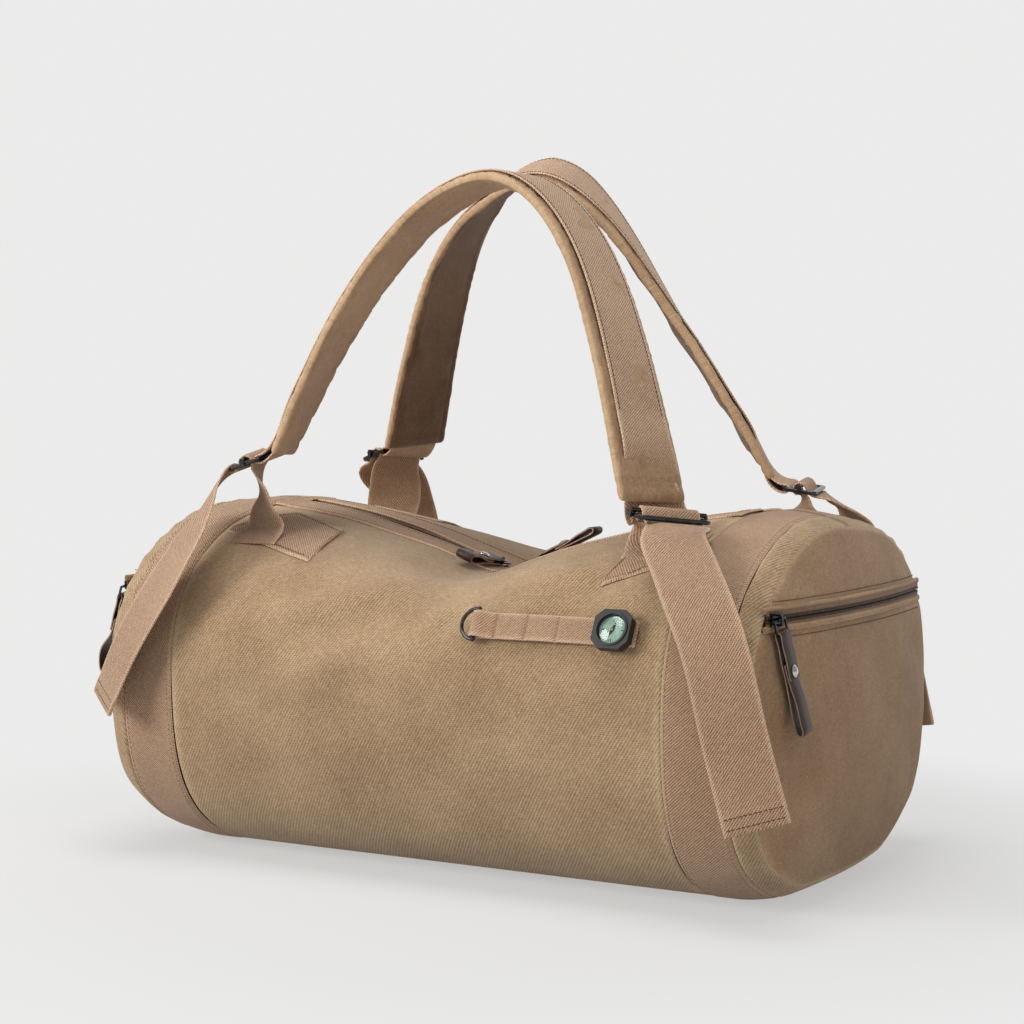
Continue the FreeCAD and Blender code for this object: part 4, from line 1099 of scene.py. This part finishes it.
groups = [(*strip_mesh(path, s, t, w, n, flat_profile(20, 1.5, 13), 0.0, strip_bend, None, 0.9), 0)]
for a in tacks:
    v = np.linspace(-8.6, 8.6, 15)
    for dx in (-0.75, 0.75):
        at = face_at(a + dx, v, 2.75 + 0.9 * max(0, 1 - ((a - 140) / 55) ** 2) - 0.8)
        groups.append((*beads(at, np.array([[1, 0, 0.0]]) + 0 * at, FN + 0 * at, (2.2, 1.15, 0.9)), 1))
for v0 in (-8.0, 8.0):
    p = face_at(np.linspace(161, 191, 40), v0, 2.65)
    groups.append((*stitch_line(p, FN[None, :], 3.2), 1))
for x0 in (190.5, 163.0):
    p = face_at(x0, np.linspace(-8, 8, 12), 2.65)
    groups.append((*stitch_line(p, FN[None, :], 3.2), 1))
add_piece("utility_webbing", groups, [WEBBING, THREAD], "bag", ["utility_strip"])

# dial marks and needle
centre = face_at(176.0, 0, 3.4 + 3.1 + 0.92)
groups = []
for k in range(36):
    a = 2 * math.pi * k / 36
    d = np.array([1.0, 0, 0]) * math.cos(a) + FV * math.sin(a)
    big = k % 9 == 0
    mid_r = 7.4 if big else 8.0
    groups.append((*beads([centre + d * mid_r], [d], [FN], (2.6 if big else 1.4, 0.7 if big else 0.35, 0.2)),
                   0))
d = np.array([1.0, 0, 0]) * math.cos(1.2) + FV * math.sin(1.2)
e = np.cross(FN, d)
arrow = [centre + d * 5.6, centre + e * 1.3, centre - e * 1.3, centre - d * 5.6]
needle = [p + FN * 0.05 for p in arrow] + [p + FN * 0.4 for p in arrow]
groups.append((np.array(needle), [(4, 5, 6), (0, 2, 1), (7, 6, 5), (3, 1, 2), (0, 1, 5, 4), (2, 0, 4, 6),
                                  (1, 3, 7, 5), (3, 2, 6, 7)], None, 0))
add_piece("compass_marks", groups, [BLACK], "compass_dial", smooth=20)

# ------------------------------------------------------------------ straps
STRAPS = {
    "front": (-1, 0.199, 52.0, ((-163, 322), (-130, 398), (-77, 479), (-18, 524), (22, 531), (82, 493),
                                (125, 418), (170, 292))),
    "rear": (1, 0.245, 48.0, ((-165, 325), (-118, 445), (-68, 519), (-5, 546), (42, 520), (101, 438),
                              (157, 331), (171, 303))),
}
BUCKLES = {
    "front_left": ((-187, -100, 313), (-0.29, 0.95, 0.10), (1.0, 0.25, 0.35)),
    "front_right": ((184, -101, 277), (-0.62, -0.78, 0.10), (-0.78, 0.62, 0.1)),
    "rear_left": ((-190, 110, 311), (0.29, 0.95, -0.05), (1.0, -0.25, 0.35)),
    "rear_right": ((200, 110, 291), (0.25, -0.96, -0.05), (-1.0, -0.2, 0.15)),
}
TAILS = {
    "front_left": (((-207.0, -126, 291.7), (-204.5, -146, 275), (-205, -168, 250), (-219, -181, 218),
                    (-249, -186, 170),
                    (-273, -188, 121)), ((-0.45, 0.85, 0.1), (-0.75, 0.45, 0.3), (-0.78, 0.52, 0.3))),
    "front_right": (((203, -130, 268), (219, -151, 251), (238, -171, 232), (258, -184, 200), (274, -187, 147),
                     (295, -188, 75)), ((0.75, 0.62, 0.2), (0.95, 0.27, 0.15), (0.94, 0.3, 0.2))),
    "rear_left": (((-205.4, 135.3, 289.7), (-206.5, 152, 272), (-210, 170, 248), (-218, 183, 214),
                   (-232, 187, 160),
                   (-240, 188, 110)), ((0.55, 0.8, 0.0), (0.93, 0.3, -0.1), (0.97, 0.2, -0.1))),
    "rear_right": (((216.0, 135, 277.5), (219, 152, 260), (225, 171, 238), (238, 184, 202), (252, 187, 150),
                    (262, 188, 95)), ((-0.45, 0.85, -0.1), (-0.9, 0.35, 0.1), (-0.94, 0.25, 0.2))),
}


def buckle_frame(name):
    at, long_axis, toward = BUCKLES[name]
    y = unit(np.array(long_axis, float))
    x = np.array(toward, float)
    x = unit(x - y * np.dot(x, y))
    return np.array(at, float), x, y, np.cross(x, y)


def pad_profile(v_half, t_half):
    """Padded section with a rolled binding each side."""
    a = np.linspace(0, 2 * math.pi, 44, endpoint=False) + 0.01
    c, s = np.cos(a), np.sin(a)
    x = np.sign(c) * np.abs(c) ** 0.55 * v_half
    z = np.sign(s) * np.abs(s) ** 0.62 * t_half
    groove = bumpy(np.abs(x) - 24.6, 1.6)
    z = z * (1 - 0.30 * groove) + np.sign(s) * 0.5 * bumpy(np.abs(x) - 28, 2.0) * (np.abs(s) > 0.2)
    return np.stack([x, z], -1)


def puff(obj, held, pressure, cap, frames_run=18):
    """Blow a closed pad up a little with the cloth solver and keep the result."""
    mesh = obj.data
    rest = np.empty(len(mesh.vertices) * 3)
    mesh.vertices.foreach_get("co", rest)
    mod = obj.modifiers.new("cloth", "CLOTH")
    cs = mod.settings
    cs.quality = 6
    cs.mass = 0.2
    cs.use_pressure = True
    cs.uniform_pressure_force = pressure
    cs.tension_stiffness = cs.compression_stiffness = 18
    cs.shear_stiffness = 8
    cs.bending_stiffness = 0.8
    cs.shrink_min = -0.02
    cs.effector_weights.gravity = 0
    group = obj.vertex_groups.new(name="held")
    group.add([int(i) for i in held], 1.0, "REPLACE")
    cs.vertex_group_mass = "held"
    mod.collision_settings.use_collision = False
    mod.collision_settings.use_self_collision = False
    mod.point_cache.frame_start = 1
    mod.point_cache.frame_end = frames_run
    for f in range(1, frames_run + 1):
        scene.frame_set(f)
    deps = bpy.context.evaluated_depsgraph_get()
    done = obj.evaluated_get(deps).to_mesh()
    co = np.empty(len(done.vertices) * 3)
    done.vertices.foreach_get("co", co)
    obj.evaluated_get(deps).to_mesh_clear()
    obj.modifiers.remove(mod)
    obj.vertex_groups.clear()
    scene.frame_set(1)
    move = (co - rest).reshape(-1, 3)
    size = np.linalg.norm(move, axis=1, keepdims=True)
    move = move * np.minimum(1, cap * MM / np.maximum(size, 1e-9))
    mesh.vertices.foreach_set("co", (rest.reshape(-1, 3) + move).ravel())
    mesh.update()


FEET = {"front_left": -177.0, "front_right": 178.0, "rear_left": -190.0, "rear_right": 200.0}
def strap_line(which):
    """Middle line of a strap, with its run, tangent, width and outward directions."""
    side, lean, apex, line = STRAPS[which]
    top = max(z for x, z in line)
    path, s = cubic([(x, side * (apex + lean * (top - z)), z) for x, z in line], 150)
    length = s[-1]
    roll = [(side * 0.38, 1, 0), (0, 1, 0), (-side * 0.38, 1, 0)]
    if which == "rear":
        path[:, 0] -= 8.0 * np.exp(-((s / length - 0.72) / 0.17) ** 2)
        path[:, 0] += 5.0 * np.exp(-((s / length - 0.45) / 0.12) ** 2)
        roll = [(0.38, 1, 0), (0.2, 1, 0.1), (0.02, 1, 0.42), (-0.34, 0.93, 0.25), (-0.48, 0.88, 0.02),
                (-0.42, 0.92, 0)]
    return (path, s, *frames(path, roll))


def make_pad(which, path, s, t, w, n):
    """Padded canvas body of the strap."""
    side, body, length = STRAPS[which][0], "strap_" + which, s[-1]
    prof = pad_profile(PAD_HALF, PAD_THICK_HALF)

    def pad_bend(U, v):
        inner = 0.9 * np.sin(U / 8.5 + 1.2 * np.sin(v / 13.0) + 2.0 * np.sin(U / 47.0))
        inner = inner * np.clip(1 - np.abs(v) / 29, 0, 1)
        return 0.35 * inner + 0.5 * ripple(U, v, 70, 2.0 + side)

    def pad_grow(U):
        near = np.minimum(U, length - U)
        return 0.78 + 0.22 * np.sqrt(np.clip(near / 22, 0, 1)) - 0.30 * bumpy(near - 8.5, 1.5)

    v, f, c = strip_mesh(path, s, t, w, n, prof, 0.0, pad_bend, pad_grow, 0.5)
    pad = add_piece("strap_pad_" + which, [(v, f, c, 0)], [STRAP_CLOTH], body,
                    ["strap_cover_" + which, "strap_foam_" + which])
    ring = np.arange(len(v)) // len(prof)
    across = np.abs(prof[np.arange(len(v)) % len(prof), 0])
    keep_still = (np.abs(across - 24.6) < 1.3) | (across > 29.5) | (ring < 9) | (ring > ring.max() - 9)
    puff(pad, np.flatnonzero(keep_still), 4.0, 1.8)
    # the rear pad's inner side gets the darker copy of the strap cloth: painted shade
    if which == "rear":
        pad.data.materials.append(SHADED_STRAP_CLOTH)
        for poly in pad.data.polygons:
            if len(poly.vertices) == 4 and 25 < poly.vertices[0] % len(prof) < 41:
                poly.material_index = 1


def make_facing(which, path, w, n):
    """Webbing on the strap's outer side, carried round the buckle bars at both ends."""
    body = "strap_" + which
    fpath = path + n * FACING_LIFT
    ends = {}
    for end, rev in (("left", False), ("right", True)):
        at, bx, by, bz = buckle_frame(which + "_" + end)
        under = [path[i] - n[i] * 0.6 for i in ((5, 2) if not rev else (-3, -6))]
        bar = at + bx * 11.5
        out = n[8] if not rev else n[-9]
        outer_sign = 1.0 if np.dot(bz, out) > 0 else -1.0
        loop = [bar + bx * 1.5 + bz * 2.9 * outer_sign, bar - bx * 1.6 + bz * 2.5 * outer_sign, bar - bx * 3.2,
                bar - bx * 1.6 - bz * 2.5 * outer_sign, bar + bx * 3.5 - bz * 3.4 * outer_sign]
        ends[end] = (loop, under, by)
    inner_l = [*ends["left"][1], *ends["left"][0][::-1]]
    mid_idx = list(range(8, 142, 7))
    keys = inner_l + [fpath[i] for i in mid_idx] + [*ends["right"][0], *ends["right"][1]]

    def clean_w(wv, ref):
        return wv if np.dot(wv, ref) > 0 else -wv

    wl = clean_w(ends["left"][2], w[8])
    wr = clean_w(ends["right"][2], w[-9])
    wkeys = [w[5], w[2]] + [wl] * 5 + [w[i] for i in mid_idx] + [wr] * 5 + [w[-3], w[-6]]
    fp, fs = cubic(keys, 420)
    pos = np.maximum.accumulate(nearest(fp, keys))
    ft, W, fn = steer(fp, pos, wkeys)
    groups = [(*strip_mesh(fp, fs, ft, W, fn, flat_profile(FACING_WIDE, 1.5, 21), 0.0,
                           lambda U, v: -0.45 * bumpy(np.abs(v) - FACING_EDGE, 0.9), None, 0.8), 0)]
    a, b = pos[8], pos[-9]
    outer = 1 if np.dot(fn[len(fn) // 2], n[75]) > 0 else -1
    for vv in (-FACING_EDGE, FACING_EDGE):
        p = fp[a:b] + W[a:b] * vv + fn[a:b] * 0.55 * outer
        nn = fn[a:b] * outer
        groups.append((*stitch_line(p, nn, STITCH), 1))
    # the strap facing takes the lighter copy of the webbing: painted light
    add_piece("strap_webbing_" + which, groups, [LIT_FACING_WEBBING, DARK_THREAD], body,
              ["strap_facing_" + which])


def make_anchor(which, end):
    """Webbing from the patch up to the buckle, with a half twist."""
    side = STRAPS[which][0]
    name = which + "_" + end
    at, bx, by, bz = buckle_frame(name)
    x0 = FEET[name]
    foot_p, foot_n = (q[0] for q in on_top(np.array([x0]), np.array([side * 102.0]), 2.8))
    low_p = on_top(np.array([x0]), np.array([side * 119.0]), 1.2)[0][0]
    mid_p = on_top(np.array([x0]), np.array([side * 110.0]), 2.3)[0][0]
    into = at - bz * 6.0 + bx * 1.0
    crest = at + bz * (1.6 + 3.4 + 0.25 + 0.9)
    keys = [low_p, mid_p, foot_p + foot_n * 2.0, foot_p * 0.75 + into * 0.25 + foot_n * 1.0,
            foot_p * 0.4 + into * 0.6,
            into, at - bz * 1.0 + bx * 5.0, at + bz * 4.4 + bx * 4.2, crest + bx * 0.5]
    ap, as_ = cubic(keys, 110)
    kpos = nearest(ap, keys)
    by2 = by * (1.0 if by[1] > 0 else -1.0)
    turn = np.array([1.0 if by2[0] > 0 else -1.0, 0, 0])
    wk = [turn, turn, unit(turn + by2 * 0.25), unit(turn + by2 * 0.7), unit(turn * 0.62 + by2),
          unit(turn * 0.1 + by2),
          by2, by2, by2]
    t2, w2, n2 = steer(ap, kpos, wk)
    groups = [(*strip_mesh(ap, as_, t2, w2, n2, flat_profile(ANCHOR_WIDE, 1.5, 17), 0.0, None, None, 0.8),
               0)]
    anchor = add_piece("anchor_strap_" + name, groups, [WEBBING], None)
    if end == "left":
        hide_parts("anchor_webbing_" + which)
    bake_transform(anchor)


def make_tail(which, end):
    """Free end of the webbing, from the buckle down over the band."""
    side, name = STRAPS[which][0], which + "_" + end
    at, bx, by, bz = buckle_frame(name)
    tail_line, tail_w = TAILS[name]
    outer = at - bx * 13.5
    crest2 = at + bz * 6.3
    keys = [crest2 + bx * 1.2, crest2 - bx * 2.6 - bz * 1.2, at - bx * 7.0 - bz * 0.6,
            outer + bx * 1.5 - bz * 3.0,
            outer - bx * 3.5 - bz * 3.0] + [np.array(q, float) for q in tail_line]
    if name == "rear_right":
        keys[5:7] = [np.array([225.0, 124.0, 278.5]), np.array([228.0, 150.0, 264.0])]
    wa = by if np.dot(by, np.array(tail_w[0])) > 0 else -by
    tp, ts = cubic(keys, 150)
    pos = nearest(tp, keys)
    tw = [wa] * 5
    for i in range(6):
        share = i / 5
        a0, b0, c0 = (np.array(q, float) for q in tail_w)
        if share < 0.5:
            tw.append(a0 * (1 - 2 * share) + b0 * 2 * share)
        else:
            tw.append(b0 * (2 - 2 * share) + c0 * (2 * share - 1))
    tt, W, tn = steer(tp, pos, tw)
    if np.dot(tn[-20], [0, side, 0]) < 0:
        tn = -tn
    total = ts[-1]

    def hem(U):
        return 1 + 0.75 * (1 / (1 + np.exp(-(U - (total - 13.5)) / 0.35)))

    def drape(U, v):
        return 0.7 * np.sin(U / 31.0 + v / 24.0) * np.clip((U - 50) / 60, 0, 1)

    groups = [(*strip_mesh(tp, ts, tt, W, tn, flat_profile(WEB_WIDE, 1.7, 19), 0.0, drape, hem, 0.9), 0)]
    for inset in (3.4, 11.0):
        k = int(np.argmin(np.abs(ts - (total - inset))))
        vv = np.linspace(-21, 21, 30)
        lift = 1.5 + drape(ts[k], vv)
        p = tp[k] + W[k] * vv[:, None] + tn[k] * lift[:, None]
        groups.append((*stitch_line(p, tn[k][None, :], 3.4), 1))
    tail = add_piece("tail_webbing_" + name, groups, [WEBBING, DARK_THREAD], None,
                     ["tail_" + name])
    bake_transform(tail)


for which in STRAPS:
    path, s, t, w, n = strap_line(which)
    make_pad(which, path, s, t, w, n)
    make_facing(which, path, w, n)
    for end in ("left", "right"):
        make_anchor(which, end)
        make_tail(which, end)

# ------------------------------------------------------------------ sliders and pulls


def place_of(origin, x_axis, z_axis):
    x, z = unit(np.array(x_axis, float)), unit(np.array(z_axis, float))
    return np.array(origin, float), x, np.cross(z, x), z


PULLS = {}
bar_h = 1.5 + 1.1 + 5.0 - 1.3 - 0.7 - 0.4
for tag, k in (("main_left", -1), ("main_right", 1)):
    a = math.asin((SAG_X - 18.0) / SAG_R)
    outward = np.array([-k * math.sin(a), 0, math.cos(a)])
    along = np.array([k * math.cos(a), 0, math.sin(a)])
    bar = np.array([k * SAG_X, 0, REACH_Z]) + outward * (SAG_R + MID_T + bar_h)
    lean = math.radians(5 if k > 0 else 7)
    flat = along if k > 0 else np.array([0, -1.0, 0])
    PULLS[tag] = (place_of(bar, flat * math.cos(lean) + outward * math.sin(lean),
                           outward * math.cos(lean) - flat * math.sin(lean)), 52.0, 20.0)
for tag, k in (("end_left", -1), ("end_right", 1)):
    a = math.asin(137.5 / ZIP_R)
    outward = np.array([k * math.cos(a), -math.sin(a), 0])
    bar = np.array([k * ZIP_CX, 0, ZIP_Z]) + outward * (ZIP_R + MID_T + bar_h - 0.35)
    out_lean = math.radians({-1: 24.0, 1: 10.0}[k])
    down = unit(np.array([k * math.sin(out_lean), math.sin(math.radians(9)), -math.cos(out_lean)]))
    face = np.array([k, 0, 0.0])
    face = face - down * np.dot(face, down)
    PULLS[tag] = (place_of(bar, down, face), 72.0, 27.0)

def leather_band(keys, count, half_w, thick, o, x, y, z, wob=0.2):
    """Leather strip along typed (along, out) corners: polished faces, pale cut edges."""
    line, s = cubic([(a, 0.0, b) for a, b in keys], count)
    t2 = unit(np.gradient(line, axis=0))
    nrm = np.stack([-t2[:, 2], 0 * s, t2[:, 0]], -1)
    r, h = 0.32, thick / 2
    prof = [(half_w, h - r), (half_w - r, h), (half_w - 1.4, h - 0.12), (half_w * 0.4, h + 0.06),
            (-half_w * 0.4, h + 0.06),
            (-half_w + 1.4, h - 0.12), (-half_w + r, h), (-half_w, h - r), (-half_w, -h + r),
                    (-half_w + r, -h),
            (0, -h), (half_w - r, -h), (half_w, -h + r)]
    K = len(prof)
    V, F, M = [], [], []
    for i in range(count):
        sway = wob * math.sin(s[i] / 11.0)
        end = min(s[i], s[-1] - s[i])
        slim = 1 - 0.10 * max(0, 1 - end / 1.2) ** 2
        for a, b in prof:
            q = line[i] + nrm[i] * b
            V.append(o + x * q[0] + z * q[2] + y * (a * slim + sway))
    for i in range(count - 1):
        for k in range(K):
            m = (k + 1) % K
            F.append((i * K + k, (i + 1) * K + k, (i + 1) * K + m, i * K + m))
            M.append(1 if k in (7, 12) else 0)
    F += [tuple(range(K))[::-1], tuple((count - 1) * K + k for k in range(K))]
    M += [1, 1]
    if np.dot(np.cross(V[K] - V[0], V[1] - V[0]), V[0] - V[6]) > 0:
        F = [f[::-1] for f in F]
    return V, F, M


for tag, ((o, x, y, z), long, riv) in PULLS.items():
    st = 9.5
    end, rv = st + long, st + riv
    g = 1.95
    nose = [(st - g * math.sin(a), g * math.cos(a)) for a in (0.5, 1.2, 1.95, 2.65)]
    belly = {"end_left": 5.2, "end_right": 0.9, "main_right": 0.3}.get(tag, 1.3)
    mid = (rv + end) / 2 + 3
    keys = [(rv + 5.5, 1.75), (rv, 1.6), (rv - 9, 1.9), (st + 3, g)] + nose + [(st + 3, -g), (rv - 9, -2.1),
            (rv, -1.95),
            (rv + 8, -2.1), (mid, -2.0 - belly), (end - 5, -2.3 - belly * 0.6), (end - 0.6, -1.3), (end, 0.2),
            (end - 1.2, 1.7 + belly * 0.15), (end - 6, 1.9 + belly * 0.6), (mid, 1.4 + belly), (rv + 8, 0.4),
                    (rv, -0.2), (rv - 6, -0.2)]
    V, F, M = leather_band(keys, 150, 7.5, 1.6, o, x, y, z)
    obj = finish_mesh("leather_" + tag, V, F, [LEATHER, RAW_EDGE], "pull_" + tag, M, smooth=50)
    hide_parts("pull_" + tag)

# ------------------------------------------------------------------ carried-over parts
CARRY = {"gunmetal": GUNMETAL, "rivet_nickel": NICKEL, "compass_case": BLACK, "compass_pin": BRASS}
CARD = plain_material("dial_card", lin(150, 196, 176), lin(206, 228, 214), 0.5, 260)
GLASS = Nodes("lens_glass")
co = GLASS.add("ShaderNodeTexCoord").outputs["Object"]
GLASS.link(GLASS.scaled(GLASS.noise(co, 300), 0.05, 0.02), GLASS.bsdf.inputs["Roughness"])
GLASS = GLASS.set(Transmission_Weight=1.0, IOR=1.45)
GLASS.node_tree.nodes["Principled BSDF"].inputs["Base Color"].default_value = (0.94, 0.98, 0.96, 1)
CARRY["compass_card"] = CARD
CARRY["compass_glass"] = GLASS
CARRY["pocket_cloth"] = CANVAS_END
slots = {row["node"]: row["material_slot"] for row in frame["record"]["subparts"]}
for node, obj in frame["nodes"].items():
    mat = CARRY.get(slots.get(node))
    if mat is not None:
        for k in range(len(obj.material_slots)):
            obj.material_slots[k].material = mat
        if not obj.material_slots:
            obj.data.materials.append(mat)

# ------------------------------------------------------------------ floor
floor_mat = Nodes("floor")
glow = floor_mat.add("ShaderNodeEmission")
glow.inputs["Color"].default_value = STUDIO
seen_ray = floor_mat.add("ShaderNodeLightPath").outputs["Is Camera Ray"]
floor_mat.link(floor_mat.scaled(seen_ray, 0.25, 0.30), glow.inputs["Strength"])
diffuse = floor_mat.add("ShaderNodeBsdfDiffuse")
diffuse.inputs["Color"].default_value = (0.3, 0.3, 0.298, 1)
both = floor_mat.add("ShaderNodeAddShader")
floor_mat.link(glow.outputs[0], both.inputs[0])
floor_mat.link(diffuse.outputs[0], both.inputs[1])
place = floor_mat.add("ShaderNodeNewGeometry").outputs["Position"]
gx, gy = floor_mat.split(place)[:2]
reach = floor_mat.math("SQRT", floor_mat.plus(floor_mat.times(gx, gx), floor_mat.times(gy, gy)))
far = floor_mat.add("ShaderNodeMapRange", interpolation_type="SMOOTHSTEP")
far.inputs["From Min"].default_value = FLOOR_NEAR
far.inputs["From Max"].default_value = FLOOR_FAR
floor_mat.link(reach, far.inputs["Value"])
sweep = floor_mat.add("ShaderNodeEmission")
sweep.inputs["Color"].default_value = STUDIO
seen_floor = floor_mat.blend_in(far.outputs[0], both.outputs[0], sweep.outputs[0])
floor_mat.link(seen_floor, floor_mat.tree.nodes["Material Output"].inputs["Surface"])
verts, faces = [], []
profile = [(-6.0, 0.0), (3.0, 0.0)] + [(3.0 + 1.5 * math.sin(a),
                                        1.5 - 1.5 * math.cos(a)) for a in np.linspace(0.1, math.pi / 2,
                                                12)] + [(4.5, 6.0)]
ca, sa = math.cos(AZ), math.sin(AZ)
for d, z in profile:
    for across in (-8.0, 8.0):
        verts.append((ca * across - sa * d, sa * across + ca * d, z - 0.0003))
for i in range(len(profile) - 1):
    faces.append((2 * i, 2 * i + 1, 2 * i + 3, 2 * i + 2))
mesh = bpy.data.meshes.new("floor")
mesh.from_pydata(verts, [], faces)
mesh.materials.append(floor_mat.mat)
mesh.polygons.foreach_set("use_smooth", [True] * len(mesh.polygons))
floor = bpy.data.objects.new("floor", mesh)
scene.collection.objects.link(floor)
